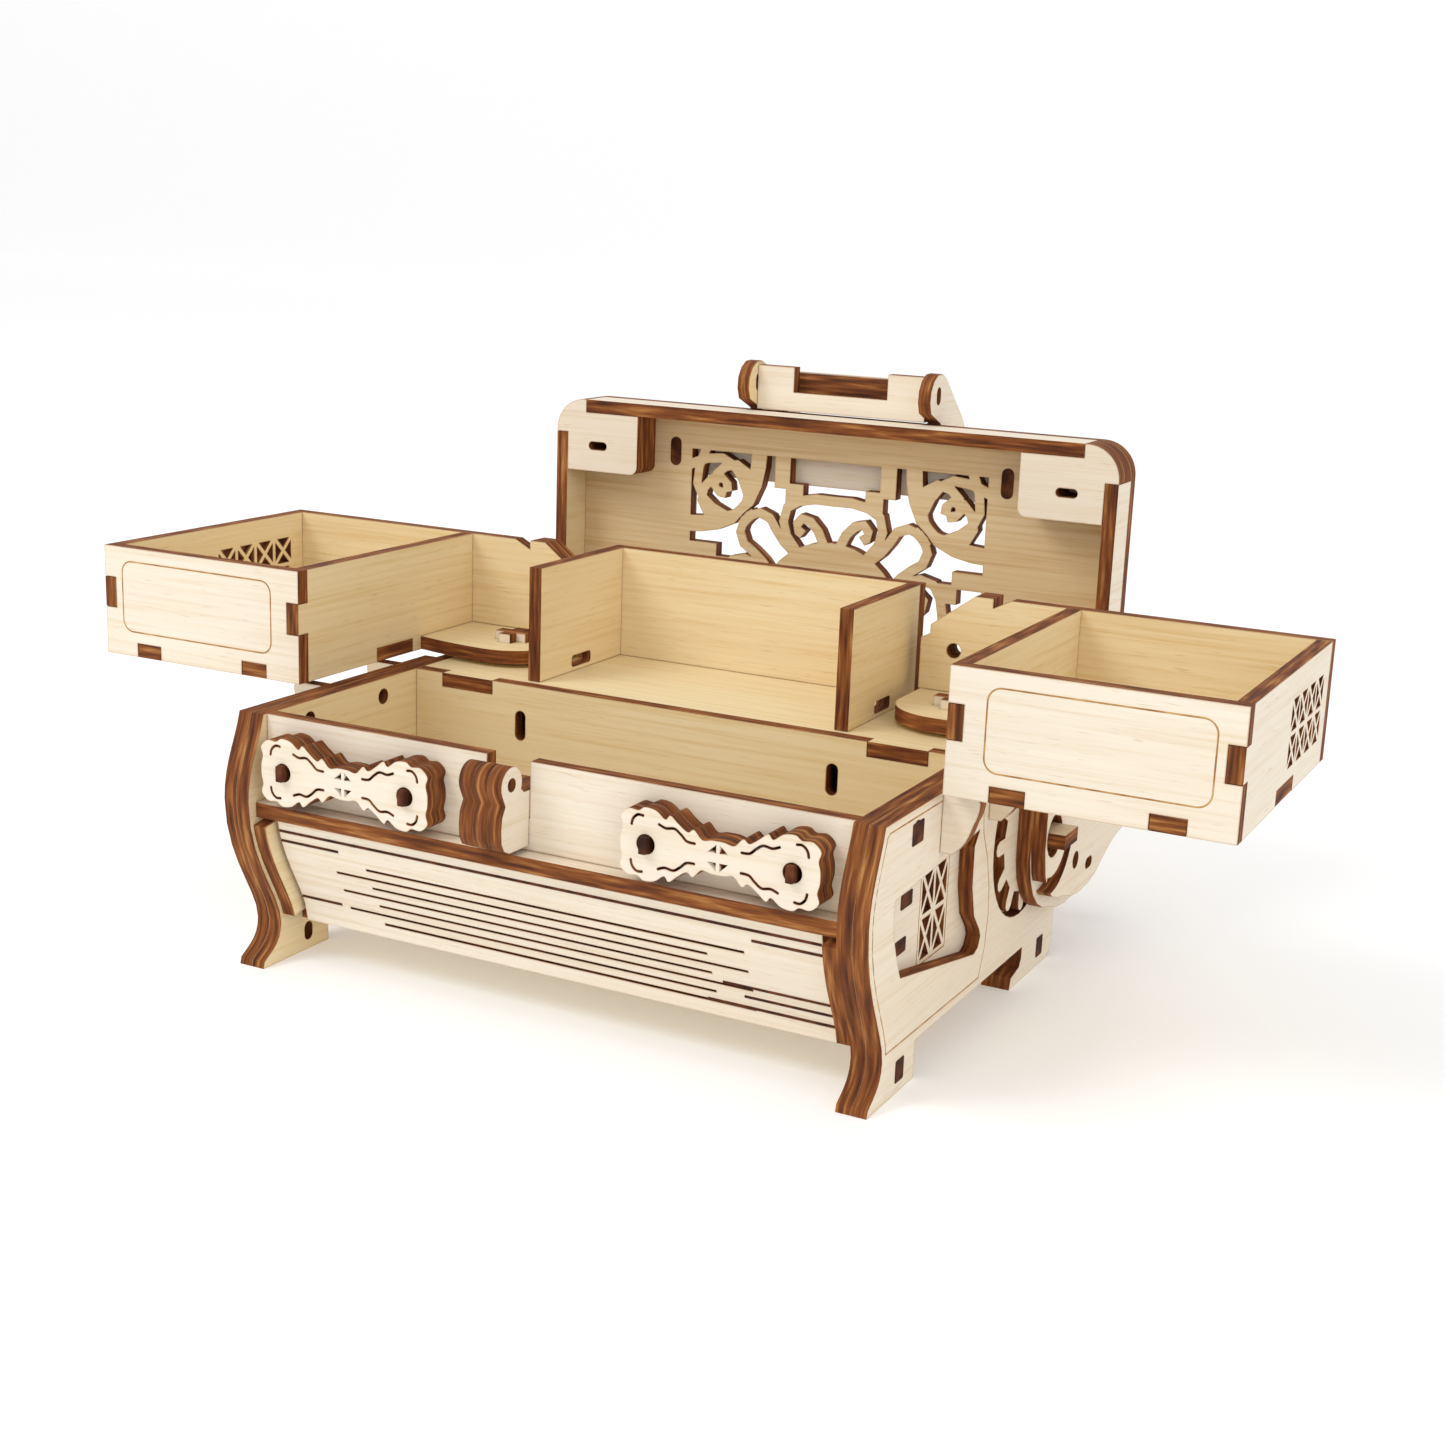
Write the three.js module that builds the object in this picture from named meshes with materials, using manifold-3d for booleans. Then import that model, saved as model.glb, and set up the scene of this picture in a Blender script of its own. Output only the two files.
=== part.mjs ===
// A sewing box of laser-cut plywood with two trays that swing out as the lid opens.
//
// Millimetres, +Z up, +X to the right and +Y to the back. The box is drawn with its lid open and its trays
// swung out. Every piece is cut from one sheet thickness and held by tabs in slots, or is a stack of plies.
import * as THREE from "three";
import { mergeVertices } from "three/addons/utils/BufferGeometryUtils.js";
import Module from "manifold-3d";

const wasm = await Module();
wasm.setup();

// ---------------------------------------------------------------- driving dimensions

const ply = 3; // thickness of the sheet
const glueGap = 0.1; // between two faces that are glued
const slotGap = 0.15; // all round a tab in its slot
const runGap = 0.5; // between a piece that moves and one that doesn't

const caseWidth = 141; // over the outer side plates
const caseDepth = 94; // over the toes of the feet
const caseHeight = 53.5; // top of the walls and of the deck
const legHeight = 7.5; // ground to the underside of the case
const footLength = 21.2; // of a front foot, toe to heel
const legBulge = 3.6; // how far the front legs swell past the toes
const caseBack = 52; // from the middle of the feet's length to the flat back

const cogTeeth = 12;
const cogTip = 17.2; // radius over the teeth
const cogRoot = cogTip / 1.3543; // radius between the teeth
const toothWidth = cogTip / 5.375;

const trayHeight = 24;
const trayWidth = 53; // across the box, when the tray is swung out
const trayMeetGap = 1; // between the two trays when they are closed
const trayLift = 1; // deck to tray
const trayStandOff = 1.8; // open tray to side plate

const lidWall = 9; // height of the lid's rails
const lidClear = 0.5; // closed trays to lid
const lidRear = -0.5; // how far the lid reaches past the back of the case
const lidCornerRadius = 7.5;

const pinWidth = 8; // the flat hinge pins and the crossed strips of the tray shafts
const tabLength = 6.5;

// ---------------------------------------------------------------- places worked out from them

const halfWidth = caseWidth / 2;
const halfDepth = caseDepth / 2;
const outerPlateX = halfWidth - ply;
const innerPlateX = outerPlateX - glueGap - ply;
const roomHalf = innerPlateX - glueGap; // half the clear width between the inner side plates

const ledgeTop = caseHeight - 17.5; // top of the strip that the front wall stands on
const frontWallY = -halfDepth + 2.5;
const rearWallY = caseBack - 2.5 - ply;
const deckZ = caseHeight - ply;

const wellRadius = cogTip + 0.8; // the round well in the outer side plate that a lid cog turns in
const hingeY = halfDepth - wellRadius - 0.5;
const trayCogZ = deckZ - runGap - ply;
const hingeZ = trayCogZ - cogRoot - 0.3;
const lidCogX = outerPlateX + 0.3;
const armX = lidCogX + ply + glueGap;
const lidHalf = armX - glueGap;
const pivotX = lidCogX + ply - cogTip - 0.1;
const pivotY = hingeY; // the two cogs meet where their axes' planes cross

const trayInnerX = halfWidth + trayStandOff;
const trayOuterX = trayInnerX + trayWidth;
const trayFrontY = pivotY - pivotX + trayMeetGap / 2;
const trayBackY = trayFrontY + outerPlateX - trayMeetGap / 2;
const trayZ = caseHeight + trayLift;
const trayTop = trayZ + trayHeight;

const compartmentFrontY = pivotY - (trayInnerX - pivotX) + runGap + 0.3;
const compartmentHalf = 38;
const compartmentBackY = halfDepth + 1;
const middleWallY = compartmentFrontY - ply - 1.5;

const lidRim = trayTop + lidClear - hingeZ; // heights in the lid are measured from the hinge, lid closed
const lidPanel = lidRim + lidWall;
const lidTop = lidPanel + ply;
const lidFront = frontWallY - 1 - hingeY;
const lidBack = caseBack + lidRear - hingeY;

// ---------------------------------------------------------------- outlines

const PI = Math.PI;

function outline(points) {
  return new THREE.Shape(points.map(([u, v]) => new THREE.Vector2(u, v)));
}

function rectangle(left, bottom, right, top) {
  return outline([
    [left, bottom],
    [right, bottom],
    [right, top],
    [left, top],
  ]);
}

function roundedRectangle(left, bottom, right, top, radius) {
  const shape = new THREE.Shape();
  shape.absarc(right - radius, bottom + radius, radius, -PI / 2, 0);
  shape.absarc(right - radius, top - radius, radius, 0, PI / 2);
  shape.absarc(left + radius, top - radius, radius, PI / 2, PI);
  shape.absarc(left + radius, bottom + radius, radius, PI, 1.5 * PI);
  return shape;
}

function disc(u, v, radius, facets = 16) {
  const angles = Array.from({ length: facets }, (_, i) => (2 * PI * i) / facets);
  return outline(angles.map((angle) => [u + radius * Math.cos(angle), v + radius * Math.sin(angle)]));
}

// A slot or tongue with round ends, centred on a point; the longer of its two sizes is its length.
function roundEnded(u, v, width, height) {
  const radius = Math.min(width, height) / 2 - 1e-3;
  return roundedRectangle(u - width / 2, v - height / 2, u + width / 2, v + height / 2, radius);
}

// Two strips crossed at right angles, the section of a shaft made of two interlocked pieces of sheet.
function cross(u, v, length, width) {
  const a = length / 2;
  const b = width / 2;
  const quarter = [
    [a, -b],
    [a, b],
    [b, b],
  ];
  const turned = [0, 1, 2, 3].flatMap((turn) =>
    quarter.map(([p, q]) => {
      const c = [1, 0, -1, 0][turn];
      const s = [0, 1, 0, -1][turn];
      return [u + c * p - s * q, v + s * p + c * q];
    }),
  );
  return outline(turned);
}

// A rectangle whose sides carry tabs (out > 0) or notches (out < 0), each given as [from, to, out].
function tabbed(left, bottom, right, top, { south = [], east = [], north = [], west = [] }) {
  const points = [[left, bottom]];
  for (const [from, to, out] of south) {
    points.push([from, bottom], [from, bottom - out], [to, bottom - out], [to, bottom]);
  }
  points.push([right, bottom]);
  for (const [from, to, out] of east) {
    points.push([right, from], [right + out, from], [right + out, to], [right, to]);
  }
  points.push([right, top]);
  for (const [from, to, out] of [...north].reverse()) {
    points.push([to, top], [to, top + out], [from, top + out], [from, top]);
  }
  points.push([left, top]);
  for (const [from, to, out] of [...west].reverse()) {
    points.push([left, to], [left - out, to], [left - out, from], [left, from]);
  }
  return outline(points);
}

// The same outline turned to face another way: each coordinate times 1 or -1.
function facing(shape, u, v = 1) {
  const flip = (points) => points.map((p) => new THREE.Vector2(u * p.x, v * p.y));
  const { shape: edge, holes } = shape.extractPoints(5);
  const result = new THREE.Shape(flip(edge));
  result.holes = holes.map((hole) => new THREE.Path(flip(hole)));
  return result;
}

function withHoles(shape, holes) {
  shape.holes.push(...holes);
  return shape;
}

// ---------------------------------------------------------------- solids

function plate(shape, thickness = ply, curveSegments = 3) {
  return new THREE.ExtrudeGeometry(shape, { depth: thickness, bevelEnabled: false, curveSegments });
}

function toSolid(geometry) {
  const bare = geometry.clone();
  bare.deleteAttribute("normal");
  bare.deleteAttribute("uv");
  const merged = mergeVertices(bare, 1e-4);
  return new wasm.Manifold(
    new wasm.Mesh({
      numProp: 3,
      vertProperties: new Float32Array(merged.attributes.position.array),
      triVerts: new Uint32Array(merged.index.array),
    }),
  );
}

function toGeometry(solid) {
  const mesh = solid.getMesh();
  const geometry = new THREE.BufferGeometry();
  geometry.setAttribute("position", new THREE.BufferAttribute(mesh.vertProperties, 3));
  geometry.setIndex(new THREE.BufferAttribute(mesh.triVerts, 1));
  const flat = geometry.toNonIndexed();
  flat.computeVertexNormals();
  return flat;
}

function cut(geometry, cutters) {
  return toGeometry(cutters.reduce((solid, cutter) => solid.subtract(toSolid(cutter)), toSolid(geometry)));
}

function join(geometries) {
  return toGeometry(geometries.map(toSolid).reduce((all, solid) => all.add(solid)));
}

// A cutter for a flat plate: an outline, taken right through with a little to spare at both faces.
function through(shape, thickness = ply, curveSegments = 2) {
  return plate(shape, thickness + 2, curveSegments).translate(0, 0, -1);
}

// ---------------------------------------------------------------- placing

const paleFace = 0xe3d3b8; // sanded face veneer
const warmFace = 0xdec08a; // the same veneer inside the box
const darkEdge = 0x7a4420; // pieces that show mostly their laser-burnt edges

function piece(name, geometry, colour = paleFace) {
  const material = new THREE.MeshStandardMaterial({ color: colour, roughness: 0.82, metalness: 0 });
  const mesh = new THREE.Mesh(geometry, material);
  mesh.name = name;
  return mesh;
}

// Lies flat: outline in X and Y, lower face at the given height.
function lying(name, geometry, z, colour) {
  const mesh = piece(name, geometry, colour);
  mesh.position.z = z;
  return mesh;
}

// Stands across the box: outline in X and Z, front face at the given y.
function across(name, geometry, y, colour, thickness = ply) {
  const mesh = piece(name, geometry, colour);
  mesh.rotation.x = PI / 2;
  mesh.position.y = y + thickness;
  return mesh;
}

// Stands along the box: outline in Y and Z. Its thickness runs from x outwards, on the side given.
function along(name, geometry, x, side, colour, thickness = ply) {
  const mesh = piece(name, geometry, colour);
  mesh.rotation.set(PI / 2, PI / 2, 0);
  mesh.position.x = side > 0 ? x : -x - thickness;
  return mesh;
}

const sides = [
  ["left", -1],
  ["right", 1],
];

// ---------------------------------------------------------------- case

// The front edge of a leg, from the toe up to the top corner of the case, as three curves.
function legCurves() {
  const toe = -halfDepth;
  const ankle = toe + 5.8;
  const bulge = toe - legBulge;
  const bulgeZ = 0.68 * caseHeight;
  const at = (y, z) => new THREE.Vector2(y, z);
  return [
    new THREE.CubicBezierCurve(at(toe + 0.4, 1.4), at(toe + 2.6, 3), at(ankle, 4.2), at(ankle, legHeight + 1)),
    new THREE.CubicBezierCurve(
      at(ankle, legHeight + 1),
      at(ankle, legHeight + 7),
      at(bulge, bulgeZ - 13),
      at(bulge, bulgeZ),
    ),
    new THREE.CubicBezierCurve(
      at(bulge, bulgeZ),
      at(bulge, bulgeZ + 7),
      at(frontWallY - 2.6, caseHeight - 6),
      at(frontWallY - 1, caseHeight),
    ),
  ];
}

function legProfile(steps = 7) {
  const points = legCurves().flatMap((curve) => curve.getPoints(steps).slice(1));
  return [[-halfDepth, 0], [-halfDepth + 0.4, 1.4], ...points.map((p) => [p.x, p.y])];
}

// The leg's edge moved inwards, between two heights: the curve that the slat panels and ribs follow.
function insetProfile(inset, fromZ, toZ, steps) {
  const fine = legCurves().flatMap((curve) => curve.getPoints(40));
  const yAt = (z) => {
    const above = fine.findIndex((p, i) => i > 0 && fine[i].y >= z && fine[i].y > fine[i - 1].y);
    const p = fine[above - 1];
    const q = fine[above];
    return p.x + ((q.x - p.x) * (z - p.y)) / (q.y - p.y);
  };
  return Array.from({ length: steps + 1 }, (_, i) => {
    const z = fromZ + ((toZ - fromZ) * i) / steps;
    const slope = (yAt(z + 0.5) - yAt(z - 0.5)) / 1;
    const length = Math.hypot(1, slope);
    return [yAt(z) + inset / length, z - (inset * slope) / length];
  });
}

function sideOutline() {
  const heel = halfDepth - footLength;
  const shape = new THREE.Shape(legProfile().map(([y, z]) => new THREE.Vector2(y, z)));
  const back = [
    [caseBack, caseHeight],
    [caseBack, 3.5],
    [caseBack - 1, 1],
    [caseBack - 3.5, 0],
    [heel, 0],
    [heel + 0.8, 2.4],
    [heel + 5.5, 3.4],
    [heel + 6.5, 5],
    [heel + 6.5, legHeight],
    [-heel, legHeight],
    [-heel, 0],
  ];
  for (const [y, z] of back) {
    shape.lineTo(y, z);
  }
  return shape;
}

// Slots in the inner side plates take the end tabs of everything that spans the case.
const frontTab = [caseHeight - 12, caseHeight - 12 + tabLength];
const rearTab = [caseHeight - 25, caseHeight - 18.5];
const middleTab = [caseHeight - 30, caseHeight - 30 + tabLength];
const baseTabs = [-24, 16].map((from) => [from, from + tabLength]);
const footSlots = [-32.4, 43.8];
const lightHoles = [-31, -6];

function slotFor(y0, z0, y1, z1) {
  return rectangle(y0 - slotGap, z0 - slotGap, y1 + slotGap, z1 + slotGap);
}

const latticeWindow = { left: -19.2, right: -6, bottom: 19.5, top: 37.5 };

// The cut-outs of a small lattice: bars along both diagonals of each cell, and a rail between cells.
function latticeCuts(left, bottom, right, top, columns, rows, bar) {
  const cellWidth = (right - left) / columns;
  const cellHeight = (top - bottom) / rows;
  const half = bar / 2;
  const cuts = [];
  for (let column = 0; column < columns; column += 1) {
    for (let row = 0; row < rows; row += 1) {
      const u0 = left + column * cellWidth + half;
      const u1 = left + (column + 1) * cellWidth - half;
      const v0 = bottom + row * cellHeight + half;
      const v1 = bottom + (row + 1) * cellHeight - half;
      const u = (u0 + u1) / 2;
      const v = (v0 + v1) / 2;
      const du = (bar * Math.hypot(cellWidth, cellHeight)) / cellHeight / 2;
      const dv = (bar * Math.hypot(cellWidth, cellHeight)) / cellWidth / 2;
      cuts.push(
        outline([[u0 + du, v0], [u1 - du, v0], [u, v - dv]]),
        outline([[u0 + du, v1], [u, v + dv], [u1 - du, v1]]),
        outline([[u0, v0 + dv], [u - du, v], [u0, v1 - dv]]),
        outline([[u1, v0 + dv], [u1, v1 - dv], [u + du, v]]),
      );
    }
  }
  return cuts;
}

function innerSidePlate(name, side) {
  const cogReach = Math.sqrt(cogTip ** 2 - (innerPlateX - pivotX) ** 2) + runGap;
  const window = latticeWindow;
  const slots = [
    slotFor(frontWallY, frontTab[0], frontWallY + ply, frontTab[1]),
    slotFor(rearWallY, rearTab[0], rearWallY + ply, rearTab[1]),
    slotFor(middleWallY, middleTab[0], middleWallY + ply, middleTab[1]),
    ...baseTabs.map(([from, to]) => slotFor(from, legHeight + glueGap, to, legHeight + glueGap + ply)),
    slotFor(hingeY - pinWidth / 2, hingeZ - ply / 2, hingeY + pinWidth / 2, hingeZ + ply / 2),
    rectangle(pivotY - cogReach, trayCogZ - runGap, pivotY + cogReach, trayCogZ + ply + runGap - glueGap),
    ...footSlots.map((y) => roundEnded(y, 4, 2.6, 4)),
    ...lightHoles.map((y) => disc(y, caseHeight - 4, 1.7)),
    ...latticeCuts(window.left, window.bottom, window.right, window.top, 2, 2, 1),
  ];
  const geometry = cut(plate(sideOutline()), slots.map((slot) => through(slot)));
  return along(name, geometry, innerPlateX, side, warmFace);
}

// The large window follows the front leg on one side and curves back beside the cog's well on the other.
function sideWindow() {
  const leg = insetProfile(11, 17.5, 41, 8);
  const back = [
    [1.8, 41],
    [-0.6, 38.2],
    [-0.4, 30],
    [1.6, 23.5],
    [5.2, 19.6],
    [6, 18],
    [5, 16],
    [3, 15.2],
  ];
  return outline([...leg, ...back]);
}

function outerSidePlate(name, side) {
  const neck = Math.sqrt(cogTip ** 2 - (outerPlateX - pivotX) ** 2) + runGap;
  const cuts = [
    disc(hingeY, hingeZ, wellRadius, 40),
    rectangle(hingeY - neck, trayCogZ - 3, hingeY + neck, caseHeight + 1),
    sideWindow(),
    ...footSlots.map((y) => roundEnded(y, 4, 2.6, 4)),
    disc(lightHoles[0], caseHeight - 4, 1.7),
  ];
  const geometry = cut(plate(sideOutline()), cuts.map((shape) => through(shape)));
  return along(name, geometry, outerPlateX, side);
}

const endTab = ply - glueGap; // how far an end tab reaches into an inner side plate

function frontWall() {
  const shape = tabbed(-roomHalf, ledgeTop + glueGap, roomHalf, caseHeight, {
    east: [[...frontTab, endTab]],
    west: [[...frontTab, endTab]],
    north: [[latch.notchLeft, latch.notchRight, -latch.notchDepth]],
  });
  return across("front_wall", plate(shape), frontWallY);
}

function middleWall() {
  const slotAt = (x) => roundEnded(x, caseHeight - 9, 2.6, 6.6);
  const shape = tabbed(-roomHalf, legHeight + ply + 2 * glueGap, roomHalf, caseHeight, {
    east: [[...middleTab, endTab]],
    west: [[...middleTab, endTab]],
    north: deckTabs.map(([from, to]) => [from - slotGap, to + slotGap, -ply - glueGap]),
  });
  return across("middle_wall", plate(withHoles(shape, [slotAt(-37), slotAt(37)])), middleWallY, warmFace);
}

function rearWall() {
  const shape = tabbed(-roomHalf, legHeight + glueGap, roomHalf, deckZ - glueGap, {
    east: [[...rearTab, endTab]],
    west: [[...rearTab, endTab]],
  });
  return across("rear_wall", plate(shape), rearWallY);
}

const deckTabs = [
  [-57.2, -44.4],
  [44.4, 57.2],
];

function deck() {
  const front = middleWallY + ply + glueGap;
  const tabs = deckTabs.map(([from, to]) => [from, to, ply + glueGap]);
  const shape = tabbed(-roomHalf, front, roomHalf, caseBack - 0.5, { south: tabs });
  const bore = pinWidth / 2 + 0.6;
  const holes = [disc(-pivotX, pivotY, bore), disc(pivotX, pivotY, bore)];
  return lying("deck", plate(withHoles(shape, holes)), deckZ, warmFace);
}

const baseFront = 12.6 - halfDepth; // the base board ends behind the slat panel's lower edge

function baseBoard() {
  const tabs = baseTabs.map(([from, to]) => [from, to, endTab]);
  const shape = tabbed(-roomHalf, baseFront, roomHalf, rearWallY - glueGap, { east: tabs, west: tabs });
  return lying("base_board", plate(shape), legHeight + glueGap, warmFace);
}

// The strip that the front wall stands on runs out past it, over the slat panel's upper edge.
function frontLedge() {
  const shape = rectangle(-roomHalf, -halfDepth - 1.4, roomHalf, frontWallY + ply);
  return lying("front_ledge", plate(shape), ledgeTop - ply);
}

const panelInset = 3.4; // the slats lie this far inside the edges of the legs
const panelTop = ledgeTop - ply - glueGap;
const ribLength = 4; // the slat panel's end ribs, along X

// A sheet bent to the curve of the legs, loosened by slits along it.
function slatPanel() {
  const outside = insetProfile(panelInset, legHeight + 1.2, panelTop - 1, 8);
  const inside = insetProfile(panelInset + ply, legHeight + 1.2, panelTop - 1, 8);
  const section = outline([...outside, ...inside.reverse()]);
  const half = roomHalf - ribLength - glueGap;
  const bent = plate(section, 2 * half).translate(0, 0, -half);
  const long = 84;
  const slits = Array.from({ length: 7 }, (_, i) => {
    const z = 12 + 2.2 * i;
    const shift = i % 2 ? -6 : 2;
    return plate(rectangle(-halfDepth - 6, z - 0.25, -halfDepth + 16, z + 0.25), long).translate(0, 0, shift - long / 2);
  });
  const mesh = piece("front_slat_panel", cut(bent, slits));
  mesh.rotation.set(PI / 2, PI / 2, 0);
  return mesh;
}

// Short ribs stand proud of the slats at each end of the front panel.
function frontRib(name, side) {
  const outside = insetProfile(0.8, legHeight + 2.5, panelTop - 1.6, 8);
  const inside = insetProfile(panelInset + ply, legHeight + 2.5, panelTop - 1.6, 8);
  const shape = outline([...outside, ...inside.reverse()]);
  return along(name, plate(shape), roomHalf - ply, side, darkEdge);
}

function corbel(name, side, y) {
  const top = caseHeight;
  const wide = 7.2;
  const shape = new THREE.Shape();
  shape.moveTo(0, top - 11.5);
  shape.lineTo(2.4, top - 11.5);
  shape.bezierCurveTo(5.4, top - 9, 5.4, top - 7, 6.2, top - 5);
  shape.bezierCurveTo(6.9, top - 3.6, wide, top - 2.4, wide, top - 1);
  shape.lineTo(wide - 0.6, top);
  shape.lineTo(0, top);
  const mesh = across(name, plate(facing(shape, side), ply, 6), y);
  mesh.position.x = side * (halfWidth + glueGap);
  return mesh;
}

function compartmentWall(name, side) {
  const shape = rectangle(compartmentFrontY, caseHeight + glueGap, compartmentBackY - ply - glueGap, trayTop);
  const slot = roundedRectangle(pivotY - 5, caseHeight + 1, pivotY + 3, caseHeight + 3.6, 0.8);
  return along(name, plate(withHoles(shape, [slot])), compartmentHalf - ply, side, warmFace);
}

function compartmentBack() {
  const shape = rectangle(-compartmentHalf, caseHeight + glueGap, compartmentHalf, trayTop);
  return across("compartment_wall_back", plate(shape), compartmentBackY - ply, warmFace);
}

function hingePin(name, side) {
  const from = innerPlateX - ply;
  const to = armX + 2 * ply + 3.5;
  const shape = rectangle(hingeY - pinWidth / 2, hingeZ - ply / 2, hingeY + pinWidth / 2, hingeZ + ply / 2);
  return along(name, plate(shape, to - from), from, side, darkEdge, to - from);
}

// ---------------------------------------------------------------- front ornaments and latch

const latch = {
  left: -11.5,
  right: -2.2,
  notchLeft: -11.7,
  notchRight: -2,
  notchDepth: 11,
};

const latchTop = caseHeight + 0.4; // the trays pass over it

const ornamentX = 41;
const ornamentZ = ledgeTop + 8;

// One quarter of the cartouche's edge, from the middle of its long side round to the middle of its end.
function ornamentOutline() {
  const quarter = [
    [0, 4.2],
    [3.4, 4.6],
    [6.6, 3],
    [9.2, 3.6],
    [10.6, 5.6],
    [12.6, 6.8],
    [14.8, 6.9],
    [16.4, 5.9],
    [17, 4.6],
    [18.6, 4.3],
    [19.9, 3],
    [19.6, 1.4],
    [20.2, 0],
  ];
  const upper = quarter.slice(0, -1);
  const ring = [
    ...upper,
    quarter.at(-1),
    ...upper.map(([u, v]) => [u, -v]).reverse(),
    ...upper.slice(1).map(([u, v]) => [-u, -v]),
    [-quarter.at(-1)[0], 0],
    ...upper.slice(1).map(([u, v]) => [-u, v]).reverse(),
  ];
  return new THREE.Shape(new THREE.CatmullRomCurve3(
    ring.map(([u, v]) => new THREE.Vector3(u, v, 0)),
    true,
    "centripetal",
  ).getPoints(96).slice(0, -1).map((p) => new THREE.Vector2(p.x, p.y)));
}

// Four small triangles round the centre, like a folded paper windmill.
function windmill() {
  return [0, 1, 2, 3].map((turn) => {
    const blade = [
      [0.5, 0.5],
      [2.5, 0.5],
      [0.5, 2.5],
    ].map(([u, v]) => new THREE.Vector2(u, v).rotateAround(new THREE.Vector2(), (turn * PI) / 2));
    return new THREE.Shape(blade);
  });
}

function ornament(name, side) {
  const bore = 1.9;
  const eyes = [-14.6, 14.6].map((u) => disc(u, 0, bore));
  const holes = [...eyes, ...windmill()].map((shape) => through(shape, 2 * ply));
  const mesh = across(name, cut(plate(ornamentOutline(), 2 * ply), holes), frontWallY - glueGap - 2 * ply, paleFace, 2 * ply);
  mesh.position.x = side * ornamentX;
  mesh.position.z = ornamentZ;
  return mesh;
}

function latchBracket() {
  const wall = frontWallY;
  const shape = new THREE.Shape();
  shape.moveTo(wall - 5.2, ledgeTop + 1);
  shape.lineTo(wall - glueGap, ledgeTop + 1);
  shape.lineTo(wall - glueGap, caseHeight - latch.notchDepth + glueGap);
  shape.lineTo(wall + ply + 5, caseHeight - latch.notchDepth + glueGap);
  shape.lineTo(wall + ply + 5, caseHeight - 4);
  shape.lineTo(wall - 1.5, caseHeight - 4);
  shape.lineTo(wall - 1.5, latchTop);
  shape.lineTo(wall - 6.5, latchTop);
  shape.quadraticCurveTo(wall - 9.5, latchTop, wall - 9.5, caseHeight - 1.5);
  shape.lineTo(wall - 9.5, caseHeight - 6.5);
  shape.bezierCurveTo(wall - 9.5, caseHeight - 9, wall - 5.2, caseHeight - 8, wall - 5.2, caseHeight - 11);
  const eye = roundEnded(wall - 5, caseHeight - 3.4, 2.4, 3.6);
  const width = latch.right - latch.left;
  const mesh = piece("latch_bracket", plate(withHoles(shape, [eye]), width, 6), paleFace);
  mesh.rotation.set(PI / 2, PI / 2, 0);
  mesh.position.x = latch.left;
  return mesh;
}

// ---------------------------------------------------------------- cogs

// A cog of plain round-ended teeth, with the first tooth at the given angle.
function cog(phase, bore) {
  const shape = new THREE.Shape();
  const pitch = (2 * PI) / cogTeeth;
  const rootHalf = Math.asin(toothWidth / 2 / cogRoot);
  const shoulder = cogTip - toothWidth / 2;
  const rootPoint = (angle) => [cogRoot * Math.cos(angle), cogRoot * Math.sin(angle)];
  shape.moveTo(...rootPoint(phase - pitch + rootHalf));
  for (let tooth = 0; tooth < cogTeeth; tooth += 1) {
    const angle = phase + tooth * pitch;
    const [u, v] = [shoulder * Math.cos(angle), shoulder * Math.sin(angle)];
    shape.lineTo(...rootPoint(angle - rootHalf));
    shape.absarc(u, v, toothWidth / 2, angle - PI / 2, angle + PI / 2);
    shape.lineTo(...rootPoint(angle + rootHalf));
  }
  return cut(plate(shape, ply, 2), [through(bore)]);
}

// ---------------------------------------------------------------- trays

const lobe = 12; // radius of the lobe round the shaft
const lobeFront = -9.5; // where the lobe's front edge meets the tray's wall

// Everything on a tray is placed from its shaft, so the tray's group turns about the shaft.
function tray(side, name) {
  const group = new THREE.Group();
  group.position.set(side * pivotX, pivotY, 0);
  const inner = trayInnerX - pivotX;
  const outer = trayOuterX - pivotX;
  const front = trayFrontY - pivotY;
  const back = trayBackY - pivotY;
  const wallTab = [trayZ + 10.5, trayZ + 10.5 + tabLength];
  const floorTabs = [-14.5, 14.5].map((u) => (inner + outer) / 2 + u).map((u) => [u - 3.2, u + 3.2]);
  const notched = ([from, to]) => [from - slotGap, to + slotGap, -ply - glueGap];

  const frontShape = tabbed(inner, trayZ, outer, trayTop, {
    south: floorTabs.map(notched),
    east: [notched(wallTab)],
    west: [notched(wallTab)],
  });
  group.add(across(`tray_front_${name}`, plate(facing(frontShape, side)), front));

  const floorTab = [(front + back) / 2 - tabLength, (front + back) / 2 + tabLength];
  const wallFrom = front + ply + glueGap;
  const wallTo = back - ply - glueGap;
  const wall = () =>
    tabbed(wallFrom, trayZ, wallTo, trayTop, {
      south: [notched(floorTab)],
      west: [[...wallTab, ply + glueGap]],
    });
  const lattice = latticeCuts(wallTo - 31, trayZ + 5, wallTo - 4, trayZ + 19, 4, 2, 1);
  const outerGeometry = cut(plate(wall()), lattice.map((shape) => through(shape)));
  group.add(along(`tray_outer_${name}`, outerGeometry, outer - ply, side));
  const lobePassage = rectangle(lobeFront - slotGap, trayZ - 1, wallTo + 1, trayZ + ply + glueGap);
  group.add(along(`tray_inner_${name}`, cut(plate(wall()), [through(lobePassage)]), inner, side));
  group.add(trayBack(name, side, back, outer));
  group.add(trayBottom(name, side, { inner, outer, wallFrom, wallTo, floorTabs, floorTab }));

  const shaft = plate(cross(0, 0, pinWidth, ply), trayZ + ply + 2 - (trayCogZ - ply));
  group.add(lying(`tray_shaft_${name}`, shaft, trayCogZ - ply, darkEdge));
  const bore = cross(0, 0, pinWidth + 2 * slotGap, ply + 2 * slotGap);
  group.add(lying(`tray_cog_${name}`, cog(PI / cogTeeth, bore), trayCogZ));
  return group;
}

const wingEnd = 41; // where a tray's back wall stops, beside the middle compartment

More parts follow.
